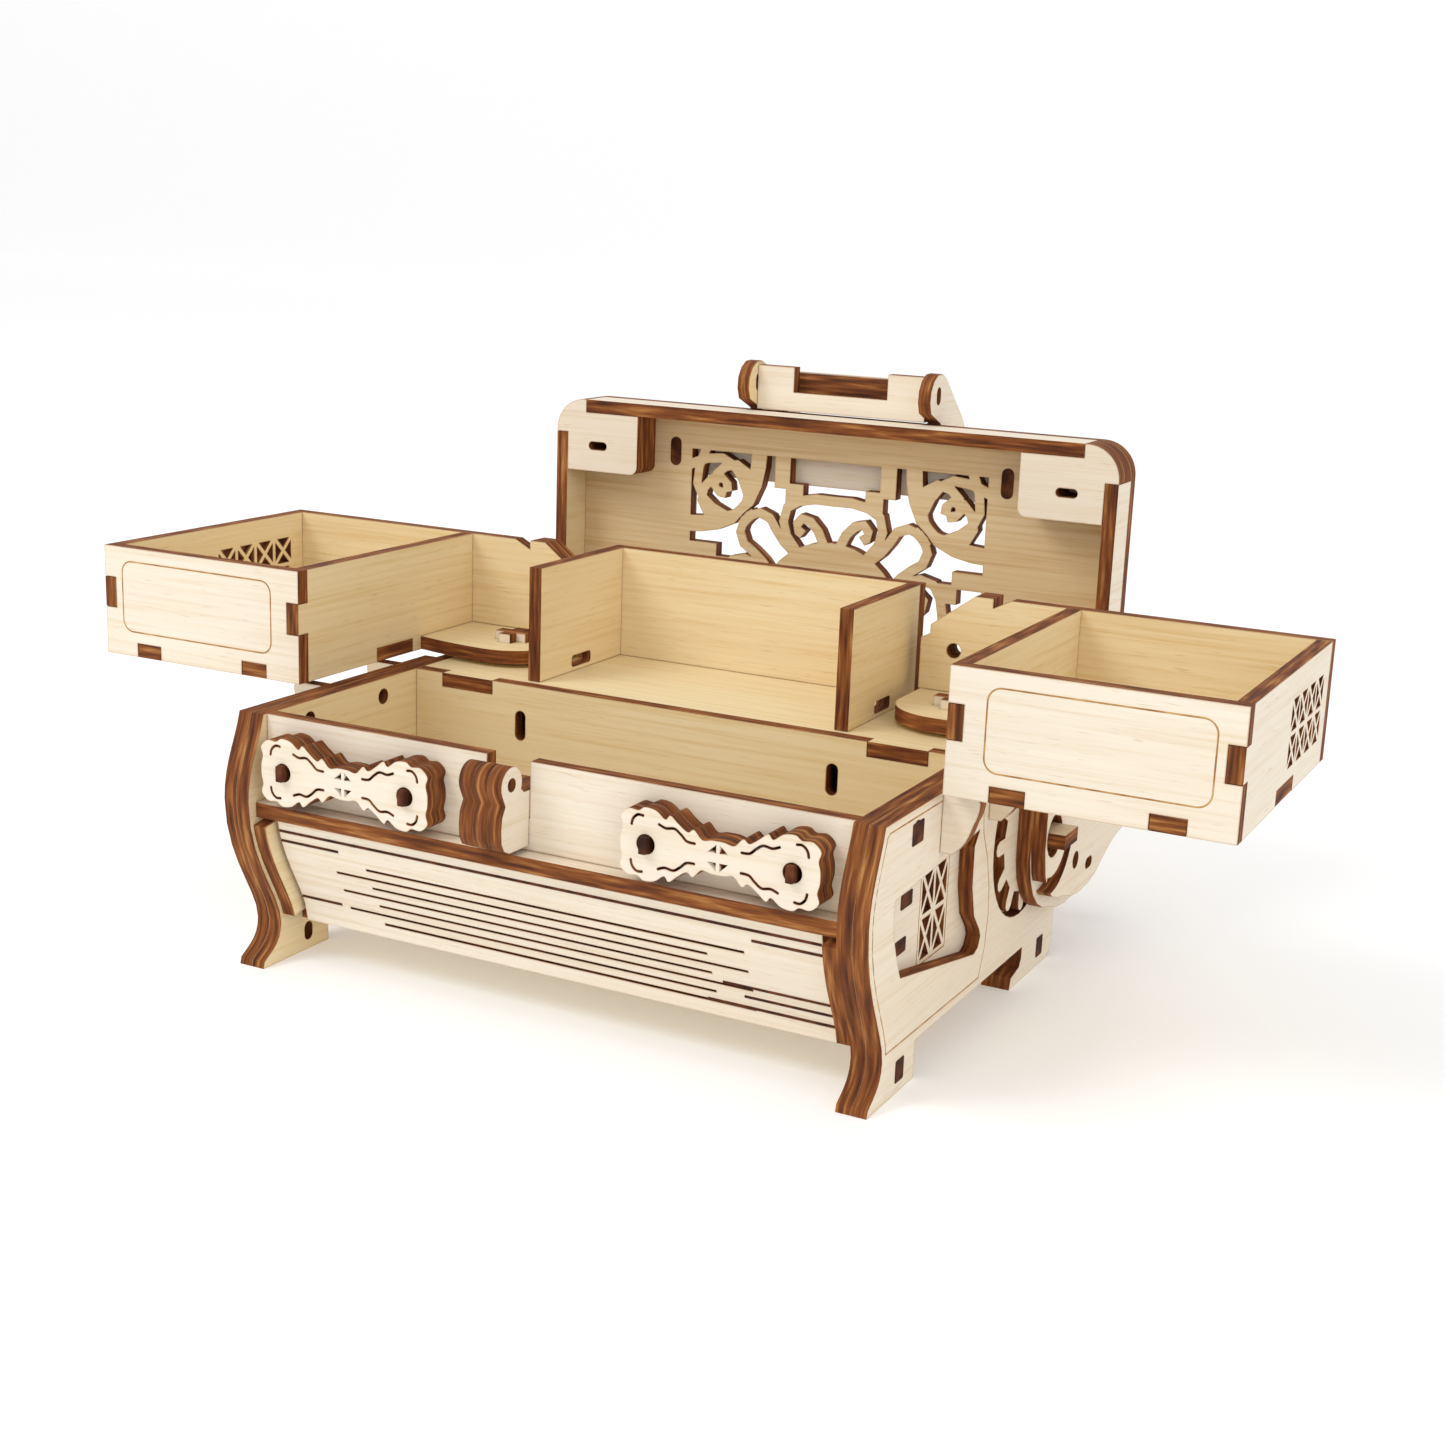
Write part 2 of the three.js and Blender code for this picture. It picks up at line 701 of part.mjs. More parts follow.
// The back wall runs on past the tray as a wing that hides the shaft; a second ply stiffens the wing.
function trayBack(name, side, back, outer) {
  const end = wingEnd - pivotX;
  const slopeFrom = 7;
  const wall = outline([
    [end, trayZ + ply + glueGap],
    [trayInnerX - pivotX - 0.5, trayZ + ply + glueGap],
    [trayInnerX - pivotX - 0.5, trayZ],
    [outer, trayZ],
    [outer, trayTop],
    [slopeFrom, trayTop],
    [end, trayTop - 10],
  ]);
  const doubler = outline([
    [end + 2, trayZ + ply + glueGap],
    [3, trayZ + ply + glueGap],
    [3, trayTop],
    [-1, trayTop],
    [end + 2, trayTop - 7],
  ]);
  const pegHole = disc(-5, trayTop - 12, 1.6);
  const thin = plate(facing(wall, side)).translate(0, 0, -ply);
  const thick = plate(facing(doubler, side), 2 * ply).translate(0, 0, -2 * ply);
  const drill = plate(facing(pegHole, side), 4 * ply).translate(0, 0, -3 * ply);
  const mesh = piece(`tray_back_${name}`, cut(join([thin, thick]), [drill]));
  mesh.rotation.x = PI / 2;
  mesh.position.y = back - ply;
  return mesh;
}

// The floor of the tray, with a rounded lobe that reaches in over the deck to the shaft.
function trayBottom(name, side, { inner, outer, wallFrom, wallTo, floorTabs, floorTab }) {
  const left = inner + ply + glueGap;
  const right = outer - ply - glueGap;
  const shape = new THREE.Shape();
  const rearEdge = wallTo - 0.1;
  shape.moveTo(left, wallFrom);
  for (const [from, to] of floorTabs) {
    shape.lineTo(from, wallFrom);
    shape.lineTo(from, wallFrom - ply);
    shape.lineTo(to, wallFrom - ply);
    shape.lineTo(to, wallFrom);
  }
  shape.lineTo(right, wallFrom);
  shape.lineTo(right, floorTab[0]);
  shape.lineTo(right + ply, floorTab[0]);
  shape.lineTo(right + ply, floorTab[1]);
  shape.lineTo(right, floorTab[1]);
  shape.lineTo(right, rearEdge);
  shape.lineTo(left, rearEdge);
  shape.lineTo(left, floorTab[1]);
  shape.lineTo(left - ply, floorTab[1]);
  shape.lineTo(left - ply, floorTab[0]);
  shape.lineTo(left, floorTab[0]);
  const arm = new THREE.Shape();
  const underWing = inner - 0.5 - slotGap;
  arm.moveTo(underWing, lobeFront);
  arm.lineTo(underWing, rearEdge + ply);
  arm.lineTo(-lobe, rearEdge + ply);
  arm.lineTo(-lobe, 0);
  arm.absarc(0, 0, lobe, PI, 1.5 * PI);
  arm.bezierCurveTo(6, -lobe, 12, lobeFront - 1.5, underWing, lobeFront);
  const bridge = rectangle(underWing - 1, lobeFront, left + 1, rearEdge);
  const whole = join([shape, arm, bridge].map((part) => plate(facing(part, side))));
  const bore = cross(0, 0, pinWidth + 2 * slotGap, ply + 2 * slotGap);
  return lying(`tray_bottom_${name}`, cut(whole, [through(bore)]), trayZ, warmFace);
}

// ---------------------------------------------------------------- lid

// The lid's group is drawn closed, with its origin on the hinge axis, and then turned open.
function lid() {
  const group = new THREE.Group();
  group.position.set(0, hingeY, hingeZ);
  group.rotation.x = -PI / 2;
  const corner = 8.2; // the rails stop this far short of the lid's corners
  const deep = lidWall - glueGap;
  const rail = (length) => plate(rectangle(0, 0, length, deep));
  const frontRail = across("lid_rail_front", rail(2 * (lidHalf - corner)), lidFront);
  const rearRail = across("lid_rail_rear", rail(2 * (lidHalf - corner)), lidBack - ply);
  for (const mesh of [frontRail, rearRail]) {
    mesh.position.x = corner - lidHalf;
    mesh.position.z = lidRim;
    group.add(mesh);
  }
  for (const [name, side] of sides) {
    const shape = rectangle(lidFront + corner, lidRim, lidBack - corner, lidRim + deep);
    group.add(along(`lid_rail_${name}`, plate(shape), lidHalf - ply, side));
    group.add(lidCorner(`lid_corner_front_${name}`, side, -1, corner));
    group.add(lidCorner(`lid_corner_rear_${name}`, side, 1, corner));
    group.add(lidArm(name, side));
    const bore = disc(0, 0, pinWidth / 2 + 0.6);
    group.add(along(`lid_cog_${name}`, cog(0, bore), lidCogX, side, darkEdge));
  }
  group.add(lidPanelPiece());
  group.add(...handle());
  return group;
}

// Three plies stacked in the lid's corner, filling it between the rails and round its outside.
function lidCorner(name, side, end, corner) {
  const reach = 14.2;
  const width = 22.5;
  const shape = new THREE.Shape();
  shape.moveTo(glueGap - corner, -ply - glueGap);
  shape.lineTo(glueGap - corner, 0);
  shape.absarc(-lidCornerRadius, -lidCornerRadius, lidCornerRadius, PI / 2, 0, true);
  shape.lineTo(0, glueGap - corner);
  shape.lineTo(-ply - glueGap, glueGap - corner);
  shape.lineTo(-ply - glueGap, -ply - reach);
  shape.lineTo(-width + 2, -ply - reach);
  shape.absarc(-width + 2, -ply - reach + 2, 2, -PI / 2, -PI, true);
  shape.lineTo(-width, -ply - glueGap);
  const slot = roundEnded(-11.5, -11, 5, 2);
  const mesh = piece(name, plate(facing(withHoles(shape, [slot]), side, end), lidWall - glueGap));
  mesh.position.set(side * lidHalf, end > 0 ? lidBack : lidFront, lidRim);
  return mesh;
}

// A band of constant width along a smooth curve through the points, as a closed outline.
function band(points, width) {
  const curve = new THREE.CatmullRomCurve3(points.map(([u, v]) => new THREE.Vector3(u, v, 0)), false, "centripetal");
  const steps = Math.round((points.length - 1) * 1.5);
  const edge = [-1, 1].map((s) =>
    Array.from({ length: steps + 1 }, (_, i) => {
      const p = curve.getPoint(i / steps);
      const t = curve.getTangent(i / steps);
      return [p.x - (s * t.y * width) / 2, p.y + (s * t.x * width) / 2];
    }),
  );
  return outline([...edge[0], ...edge[1].reverse()]);
}

const fretHalf = 38; // half the side of the square of fretwork
const fretMiddle = lidFront + 48.5; // its middle, from the hinge axis
const fretDisc = 19; // the plain disc in the middle of it

// One side of the square, on one side of its middle line: half a crown, a step, a lobe and half a corner.
const fretScrolls = [
  [[9, 16], [12.6, 21], [12, 26.2], [7, 28.6], [-0.5, 28.8]],
  [[2, 18], [4.6, 22.6], [8, 24], [9.4, 21.6], [7.6, 20.2]],
  [[10, 15.8], [13.8, 19.2], [16.4, 23.2], [20.6, 24.2], [24.2, 20.6]],
  [[19, 39.4], [19.6, 33], [22, 26.6], [28.4, 22], [39.4, 20.6]],
  [[33.8, 39.4], [36.6, 31], [34, 25.6], [28.2, 22.6]],
  [[23, 26], [22.4, 32.6], [26.4, 35.2], [31, 32.8], [31.4, 28.8], [28.4, 28]],
];
const fretStep = [[8, 27.6], [8, 32], [11.6, 32], [11.6, 39], [15.6, 39], [15.6, 30.6], [12.6, 30.6], [12.6, 25]];

function fretworkRibs() {
  const turned = (points, turn, side) =>
    points.map(([u, v]) => {
      const p = new THREE.Vector2(side * u, v).rotateAround(new THREE.Vector2(), (turn * PI) / 2);
      return [p.x, p.y + fretMiddle];
    });
  const ribs = [disc(0, fretMiddle, fretDisc, 40)];
  for (const turn of [0, 1, 2, 3]) {
    for (const [, side] of sides) {
      ribs.push(...fretScrolls.map((points) => band(turned(points, turn, side), 2.4)));
      ribs.push(outline(turned(fretStep, turn, side)));
    }
  }
  return ribs;
}

function lidPanelPiece() {
  const sheet = plate(roundedRectangle(-lidHalf, lidFront, lidHalf, lidBack, lidCornerRadius), ply, 6);
  const square = (half) => rectangle(-half, fretMiddle - half, half, fretMiddle + half);
  const slots = sides.map(([, side]) => roundEnded(side * boardTenonX, boardTenonY, 2.7, 6.7));
  const frame = cut(sheet, [square(fretHalf), ...slots].map((shape) => through(shape)));
  const ribs = join(fretworkRibs().map((shape) => plate(shape)));
  const within = plate(square(fretHalf + 1));
  return lying("lid_panel", join([frame, toGeometry(toSolid(ribs).intersect(toSolid(within)))]), lidPanel);
}

// An arm of two plies, from the hinge pin up to the lid's side rail. The outer ply is cut back a little.
function lidArm(name, side) {
  const edge = (trim) => {
    const shape = new THREE.Shape();
    const front = -10.5 + trim;
    const heel = 18.5 - trim;
    shape.moveTo(-6, -5.4);
    shape.lineTo(5 - trim, -5.4);
    shape.bezierCurveTo(13, -4, heel - 1, 2, heel, 9);
    shape.bezierCurveTo(heel + 3.3, 17, heel + 3, 28, heel - 1.5, lidRim - 9);
    shape.bezierCurveTo(heel - 4.5, lidRim - 2, 11, lidRim, 10.5, lidRim + 6);
    shape.lineTo(10.5, lidTop);
    shape.lineTo(-20, lidTop);
    shape.lineTo(-20, lidRim + 3);
    shape.bezierCurveTo(-19, lidRim - 4, front, lidRim - 8, front, lidRim - 16);
    shape.lineTo(front, 4);
    shape.bezierCurveTo(front, -2, -9, -5.4, -6, -5.4);
    return shape;
  };
  const bore = disc(0, 0, pinWidth / 2 + 0.6);
  const crescent = new THREE.Shape();
  crescent.absarc(0, 0, 12.5, -0.3, 1.35);
  crescent.absarc(0, 0, 8.8, 1.35, -0.3, true);
  const holes = [disc(9.4, 15.5, 1.9), roundEnded(12.5, 25, 2.4, 4.4)];
  const inner = plate(edge(0), ply, 5);
  const outer = plate(edge(3), 2 * ply, 5);
  const outerUp = side > 0 ? outer : outer.translate(0, 0, -ply);
  const both = join([inner, outerUp]);
  const deep = 6 * ply;
  const bored = cut(both, [bore, ...holes].map((shape) => plate(shape, deep).translate(0, 0, -2 * ply)));
  const pocket = plate(crescent, 2 * ply, 6).translate(0, 0, side > 0 ? ply : -2 * ply);
  const mesh = piece(`lid_arm_${name}`, cut(bored, [pocket]));
  mesh.rotation.set(PI / 2, PI / 2, 0);
  mesh.position.x = side > 0 ? armX : -armX - ply;
  return mesh;
}

// ---------------------------------------------------------------- handle

const boardTop = lidTop + glueGap + ply; // a board on the lid carries the handle's ears
const handlePivot = { u: lidFront + 3.5, w: boardTop + 7.9 };
const handleGrip = { u: lidFront - 5.5, w: lidTop - 1 };
const earX = 19.5; // middle of each ear
const handleArmX = earX + ply / 2 + 0.4;
const earTongue = [lidFront + 5.5, lidFront + 10.5];
const boardTenonX = 42.5;
const boardTenonY = lidFront + 11.5;
const pinHole = 1.7;

function handle() {
  const meshes = [handleBoard(), handleGripPiece(), handleBar(), handleRod()];
  for (const [name, side] of sides) {
    meshes.push(handleEar(name, side));
    meshes.push(handleArm(name, side));
  }
  return meshes;
}

// Two round-ended tenons under the board fill the slots in the lid's panel.
function handleBoard() {
  const board = plate(roundedRectangle(-46, lidFront + 4, 46, lidFront + 17, 2)).translate(0, 0, lidTop + glueGap);
  const tenons = sides.map(([, side]) =>
    plate(roundEnded(side * boardTenonX, boardTenonY, 2.4, 6.4), ply + 1, 2).translate(0, 0, lidPanel + 0.2));
  const slots = sides.map(([, side]) =>
    slotFor(side * earX - ply / 2, earTongue[0], side * earX + ply / 2, earTongue[1]));
  const bored = cut(board, slots.map((shape) => through(shape, ply + 1).translate(0, 0, lidTop)));
  return piece("handle_board", join([bored, ...tenons]));
}

function handleEar(name, side) {
  const { u, w } = handlePivot;
  const base = boardTop + glueGap;
  const foot = lidTop + 0.3;
  const shape = new THREE.Shape();
  shape.moveTo(lidFront + 4.2, base);
  shape.lineTo(earTongue[0], base);
  shape.lineTo(earTongue[0], foot);
  shape.lineTo(earTongue[1], foot);
  shape.lineTo(earTongue[1], base);
  shape.lineTo(lidFront + 14, base);
  shape.bezierCurveTo(lidFront + 14, base + 2, u + 4.6, w - 4, u + 4.2, w);
  shape.absarc(u, w, 4.2, 0, PI);
  shape.bezierCurveTo(u - 4.2, w - 3, u, base + 2, lidFront + 4.2, base);
  return along(`handle_ear_${name}`, plate(withHoles(shape, [disc(u, w, pinHole)])), earX - ply / 2, side);
}

// A round head at the grip, a neck that clears the lid's edge, and a round end on the pin.
function handleArm(name, side) {
  const { u, w } = handlePivot;
  const head = { u: handleGrip.u - 0.5, w: handleGrip.w - 0.5 };
  const lean = Math.atan2(head.w - w, head.u - u);
  const edgeAt = (from, along, across) => [
    from.u + along * Math.cos(lean) - across * Math.sin(lean),
    from.w + along * Math.sin(lean) + across * Math.cos(lean),
  ];
  const shape = new THREE.Shape();
  shape.moveTo(...edgeAt({ u, w }, 0, -4.8));
  shape.lineTo(...edgeAt(head, 0, -5.6));
  shape.absarc(head.u, head.w, 5.6, lean - PI / 2, lean + 0.4 * PI);
  const neck = [edgeAt(head, -5, 3), edgeAt({ u, w }, 6, 2.8), edgeAt({ u, w }, 0, 4.8)];
  shape.bezierCurveTo(...neck[0], ...neck[1], ...neck[2]);
  shape.absarc(u, w, 4.8, lean + PI / 2, lean + 1.5 * PI);
  const eye = roundEnded(head.u - 0.6, head.w - 0.6, 4, 2.4);
  return along(`handle_arm_${name}`, plate(withHoles(shape, [disc(u, w, pinHole), eye])), handleArmX, side);
}

// A flat strip between the arms, notched along its far edge.
function handleGripPiece() {
  const reach = handleArmX - glueGap;
  const { u, w } = handleGrip;
  const strip = tabbed(-reach, u - 5.1, reach, u + 5.1, { south: [[-11.9, 11.9, -5.8]] });
  return lying("handle_grip", plate(strip), w - ply / 2);
}

// The rounded bar behind the strip, a stack of two plies.
function handleBar() {
  const reach = handleArmX - glueGap;
  const { u, w } = handleGrip;
  const near = w + ply / 2 + glueGap;
  const shape = roundedRectangle(u - 3.9, near, u + 2.5, near + 4.6, 2);
  return along("handle_bar", plate(shape, 2 * reach), -reach, 1, darkEdge, 2 * reach);
}

function handleRod() {
  const reach = handleArmX + ply + 0.8;
  const shape = disc(handlePivot.u, handlePivot.w, 1.4);
  return along("handle_rod", plate(shape, 2 * reach), -reach, 1, darkEdge, 2 * reach);
}

// ---------------------------------------------------------------- the whole box

function box() {
  const group = new THREE.Group();
  for (const [name, side] of sides) {
    group.add(outerSidePlate(`side_plate_outer_${name}`, side));
    group.add(innerSidePlate(`side_plate_inner_${name}`, side));
    group.add(frontRib(`front_rib_${name}`, side));
    group.add(corbel(`corbel_front_${name}`, side, -19.4));
    group.add(corbel(`corbel_rear_${name}`, side, middleWallY));
    group.add(compartmentWall(`compartment_wall_${name}`, side));
    group.add(hingePin(`hinge_pin_${name}`, side));
    group.add(ornament(`ornament_${name}`, side));
    group.add(tray(side, name));
  }
  group.add(frontWall(), middleWall(), rearWall(), deck(), baseBoard());
  group.add(frontLedge(), slatPanel());
  group.add(compartmentBack(), latchBracket(), lid());
  return group;
}

const sewingBox = box();
sewingBox.updateMatrixWorld(true);
const extent = new THREE.Box3().setFromObject(sewingBox, true);
sewingBox.position.y = -(extent.min.y + extent.max.y) / 2; // origin under the middle of the whole object

export default sewingBox;
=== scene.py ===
# %% [markdown]
# # A laser-cut sewing box with two trays
#
# The real box is a kit of thin plywood sheets. A laser cuts every piece, and the pieces then slot
# together with tabs. Three things make such a box look real: pale sanded faces with a fine grain,
# brown burnt edges that show the layers of the ply, and thin scorched lines drawn on the faces.
#
# The solid pieces come from the part's CAD model and already have their true shapes. They keep
# those shapes here, and get their wood. What the CAD model leaves out is small: the drawn lines,
# the tab ends that fill their slots and the slits in the ornaments. Those are made further down.

import math

import bmesh
import bpy
from mathutils import Matrix, Vector


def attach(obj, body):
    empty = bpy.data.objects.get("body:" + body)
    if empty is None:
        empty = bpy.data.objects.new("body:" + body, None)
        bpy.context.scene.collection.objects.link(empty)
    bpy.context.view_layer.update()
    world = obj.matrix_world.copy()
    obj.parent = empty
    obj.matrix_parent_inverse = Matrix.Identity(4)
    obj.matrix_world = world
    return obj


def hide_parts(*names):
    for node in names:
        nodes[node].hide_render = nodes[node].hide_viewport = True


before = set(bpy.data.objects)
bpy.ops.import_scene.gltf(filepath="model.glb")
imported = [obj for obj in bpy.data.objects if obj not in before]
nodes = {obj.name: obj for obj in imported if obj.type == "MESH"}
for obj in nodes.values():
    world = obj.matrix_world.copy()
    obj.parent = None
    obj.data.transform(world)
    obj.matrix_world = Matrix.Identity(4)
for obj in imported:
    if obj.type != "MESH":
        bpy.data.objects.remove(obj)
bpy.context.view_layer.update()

# %% [markdown]
# ## A frame to measure in
#
# A maker of this box thinks in millimetres from the middle of the case: X to the right, Y to the
# back and Z up. The CAD model is in metres, and its zero lies a little further back. One small
# function turns a maker's point into a point of the model, so every size below reads as on the
# bench.

# %% From the maker's millimetres to the model's metres
MM = 0.001
CASE_MIDDLE_Y = -0.023631


def at(x, y, z):
    return Vector((x * MM, y * MM + CASE_MIDDLE_Y, z * MM))


print("the rim's middle is at", [round(v, 4) for v in at(0, 0, 53.5)])

# %% [markdown]
# ## The camera
#
# The camera comes first, because it decides which details are worth making. It stands to the right
# of the box, a little above the open trays, and looks left and down. It is held almost level, with
# the two degrees of tilt that a hand leaves. A camera's own axes are its right, its up and the way
# behind it, so turning those three with plain sines and cosines is easier to read than three
# rotations in a row.

# %% Place the camera
CAMERA_PLACE = (199.86, -360.95, 157.18)
CAMERA_TURN = math.radians(27.11)
CAMERA_DIP = math.radians(14.24)
CAMERA_ROLL = math.radians(2.11)
LENS = 51.8  # mm
SENSOR = 36  # mm wide


def camera_axes(turn, dip, roll):
    level = math.cos(dip)
    behind = Vector((math.sin(turn) * level, -math.cos(turn) * level, math.sin(dip)))
    right = Vector((math.cos(turn), math.sin(turn), 0))
    up = behind.cross(right)
    rolled_right = right * math.cos(roll) + up * math.sin(roll)
    rolled_up = up * math.cos(roll) - right * math.sin(roll)
    return Matrix((rolled_right, rolled_up, behind)).transposed()


lens = bpy.data.cameras.new("camera")
lens.lens = LENS
lens.sensor_width = SENSOR
lens.clip_start = 0.01
camera = bpy.data.objects.new("camera", lens)
camera.matrix_world = Matrix.Translation(at(*CAMERA_PLACE)) @ camera_axes(
    CAMERA_TURN, CAMERA_DIP, CAMERA_ROLL
).to_4x4()
bpy.context.scene.collection.objects.link(camera)
bpy.context.scene.camera = camera
print("the camera stands", round((at(*CAMERA_PLACE) - at(0, 0, 50)).length, 3), "m from the case")

# %% [markdown]
# ## Colour, and one function for nodes
#
# Wood colours are easiest to choose as the hex values a paint chart uses, but a renderer counts
# light, so each is turned to linear once, here. The second function adds a node to a material or a
# geometry tree: the words after the node's kind are its settings, and the dictionary feeds its
# sockets, with a number or with another node's output.

# %% Colour and nodes
def colour(hex_value):
    def linear(channel):
        return channel / 12.92 if channel <= 0.04045 else ((channel + 0.055) / 1.055) ** 2.4

    digits = hex_value.lstrip("#")
    return tuple(linear(int(digits[i : i + 2], 16) / 255) for i in (0, 2, 4)) + (1.0,)


def add_node(tree, kind, feeds=None, **settings):
    node = tree.nodes.new(kind)
    for name, value in settings.items():
        setattr(node, name, value)
    for socket, value in (feeds or {}).items():
        if isinstance(value, bpy.types.NodeSocket):
            tree.links.new(value, node.inputs[socket])
        else:
            node.inputs[socket].default_value = value
    return node


def colour_steps(node, steps):
    ramp = node.color_ramp
    while len(ramp.elements) < len(steps):
        ramp.elements.new(0.5)
    for element, (place, value) in zip(ramp.elements, steps):
        element.position = place
        element.color = colour(value)


print("cream is", [round(v, 3) for v in colour("#E6DBCD")])

# %% [markdown]
# ## Plywood, sanded on its faces and burnt on its edges
#
# The sheets are 3 mm birch plywood: three veneers glued with the grain crossing. Sanding leaves the
# faces pale and matt, with grain lines less than a millimetre apart that run for a few centimetres,
# a few darker flecks where a pore was cut, and slow shifts of tone across the sheet. The laser
# leaves the cut edge brown, darkest where the glue burnt, with a lighter core.
#
# One material has to know a face from an edge. A sheet has one direction through its thickness, so
# a surface that faces along it is a face, and anything else was cut. The material compares the
# surface's own direction with the sheet's, which holds in every pose because both turn together.
# Grain is a noise that is stretched: few changes along the grain and many across it.

# %% The plywood's sizes and colours
GRAIN_LENGTH = 38.0  # mm along one grain line
GRAIN_PITCH = 0.9  # mm from one grain line to the next
FLECK_LENGTH = 5.0
FLECK_WIDTH = 0.28
TONE_PATCH = 45.0  # mm across a patch of lighter or darker veneer
VENEER = 0.85  # mm, so that three or four bands show in a 3 mm edge
EDGE_STREAK = 11.0
SMOKE_REACH = 0.45  # mm of face that the smoke darkens beside a cut
GRAIN_RELIEF = 0.06  # mm that a grain line is raised

PLY_TONES = {
    "pale": ("#F0E5D3", "#ECDFCA", "#E5D3B6"),
    "warm": ("#F0DDB4", "#ECD6A9", "#E4C993"),
    "tan": ("#E6CFA6", "#DFC498", "#D0AF7E"),
}
FLECK = "#C8A36E"
SCORCH = "#A8743F"
EDGE_STEPS = ((0.28, "#45200A"), (0.44, "#6B3712"), (0.58, "#8A4F20"), (0.74, "#B57E45"))
GRAIN_STEPS = (0.28, 0.44, 0.6)  # where the grain's dark, middle and light tones sit
print("grain lines every", GRAIN_PITCH, "mm,", len(PLY_TONES), "tones of veneer")

# %% [markdown]
# ### Patterns in the wood
#
# Which way the grain runs depends on the sheet: along the box on sheets that face forward or up,
# and from front to back on the sides. The scale of a pattern is one over its size, because noise
# counts how often it changes in a metre.

# %% A noise that is stretched along the grain
ALONG_GRAIN = {"x": 1, "y": 0, "z": 0}


def stretched(along, across, grain_axis):
    scale = [1 / (across * MM)] * 3
    scale[grain_axis] = 1 / (along * MM)
    return scale


def pattern(tree, place, scale, detail=3.0, distortion=0.0):
    fitted = add_node(
        tree, "ShaderNodeMapping", {"Vector": place, "Scale": scale}, vector_type="POINT"
    )
    noise = add_node(
        tree,
        "ShaderNodeTexNoise",
        {
            "Vector": fitted.outputs["Vector"],
            "Scale": 1.0,
            "Detail": detail,
            "Distortion": distortion,
        },
    )
    return noise.outputs["Fac"]


side_grain = stretched(GRAIN_LENGTH, GRAIN_PITCH, ALONG_GRAIN["x"])
print("grain on a side sheet changes", [round(v) for v in side_grain], "times a metre")

# %% [markdown]
# ### Face or cut edge
#
# The surface's direction is taken apart into X, Y and Z. The part along the sheet's own axis is
# nearly one on a face and nearly nothing on an edge, so a short step between them tells which it
# is. How flat a surface must lie to count as a face is a setting, because a bent sheet turns away
# from its axis.

# %% Tell a face from an edge
FACE_STEP = 0.06  # the width of the step from edge to face


def is_sheet_face(tree, normal, sheet_axis, flatness):
    turned = add_node(tree, "ShaderNodeVectorMath", {0: normal}, operation="ABSOLUTE")
    parts = add_node(tree, "ShaderNodeSeparateXYZ", {"Vector": turned.outputs["Vector"]})
    step = add_node(
        tree,
        "ShaderNodeMapRange",
        {
            "Value": parts.outputs[sheet_axis.upper()],
            "From Min": flatness,
            "From Max": flatness + FACE_STEP,
        },
    )
    return step.outputs["Result"]


print("a face turns to an edge over a step of", FACE_STEP)

# %% [markdown]
# ### Smoke beside a cut
#
# The laser's smoke stains the face beside a cut. A texture can't know where the cuts are, but the
# Bevel node can: it gives the direction that the surface would have if its corners were rounded.
# Where that differs from the true direction a corner is near, and the more it differs, the nearer
# the corner is.

# %% Darken the face near its corners
SMOKE_STARTS = 0.995  # how well the two directions agree where the stain begins
SMOKE_IS_FULL = 0.86
SMOKE_STRENGTH = 0.75


def smoke_beside_cuts(tree):
    plain = add_node(tree, "ShaderNodeNewGeometry")
    rounded = add_node(tree, "ShaderNodeBevel", {"Radius": SMOKE_REACH * MM}, samples=4)
    agree = add_node(
        tree,
        "ShaderNodeVectorMath",
        {0: plain.outputs["Normal"], 1: rounded.outputs["Normal"]},
        operation="DOT_PRODUCT",
    )
    smoke = add_node(
        tree,
        "ShaderNodeMapRange",
        {
            "Value": agree.outputs["Value"],
            "From Min": SMOKE_STARTS,
            "From Max": SMOKE_IS_FULL,
            "To Min": 0.0,
            "To Max": SMOKE_STRENGTH,
        },
    )
    return smoke.outputs["Result"]


print("smoke reaches", SMOKE_REACH, "mm from a cut")

# %% [markdown]
# ### The colours of an edge and of a face
#
# An edge shows the layers of the ply as bands, so its noise changes quickly through the sheet and
# slowly along it. A face is built up in three steps: grain lines between three tones, then broad
# patches that shade towards the darkest of them, then short dark flecks.

# %% Colour the edges and the faces
PATCH_RANGE = (0.3, 0.7)
PATCH_STRENGTH = 0.35
FLECK_RANGE = (0.66, 0.76)
FLECK_STRENGTH = 0.4


def burnt_edge_colour(tree, place, sheet_axis):
    bands = [1 / (EDGE_STREAK * MM)] * 3
    bands["xyz".index(sheet_axis)] = 1 / (VENEER * MM)
    streaks = pattern(tree, place, bands, detail=2.5)
    burnt = add_node(tree, "ShaderNodeValToRGB", {"Fac": streaks})
    colour_steps(burnt, EDGE_STEPS)
    return burnt.outputs["Color"]


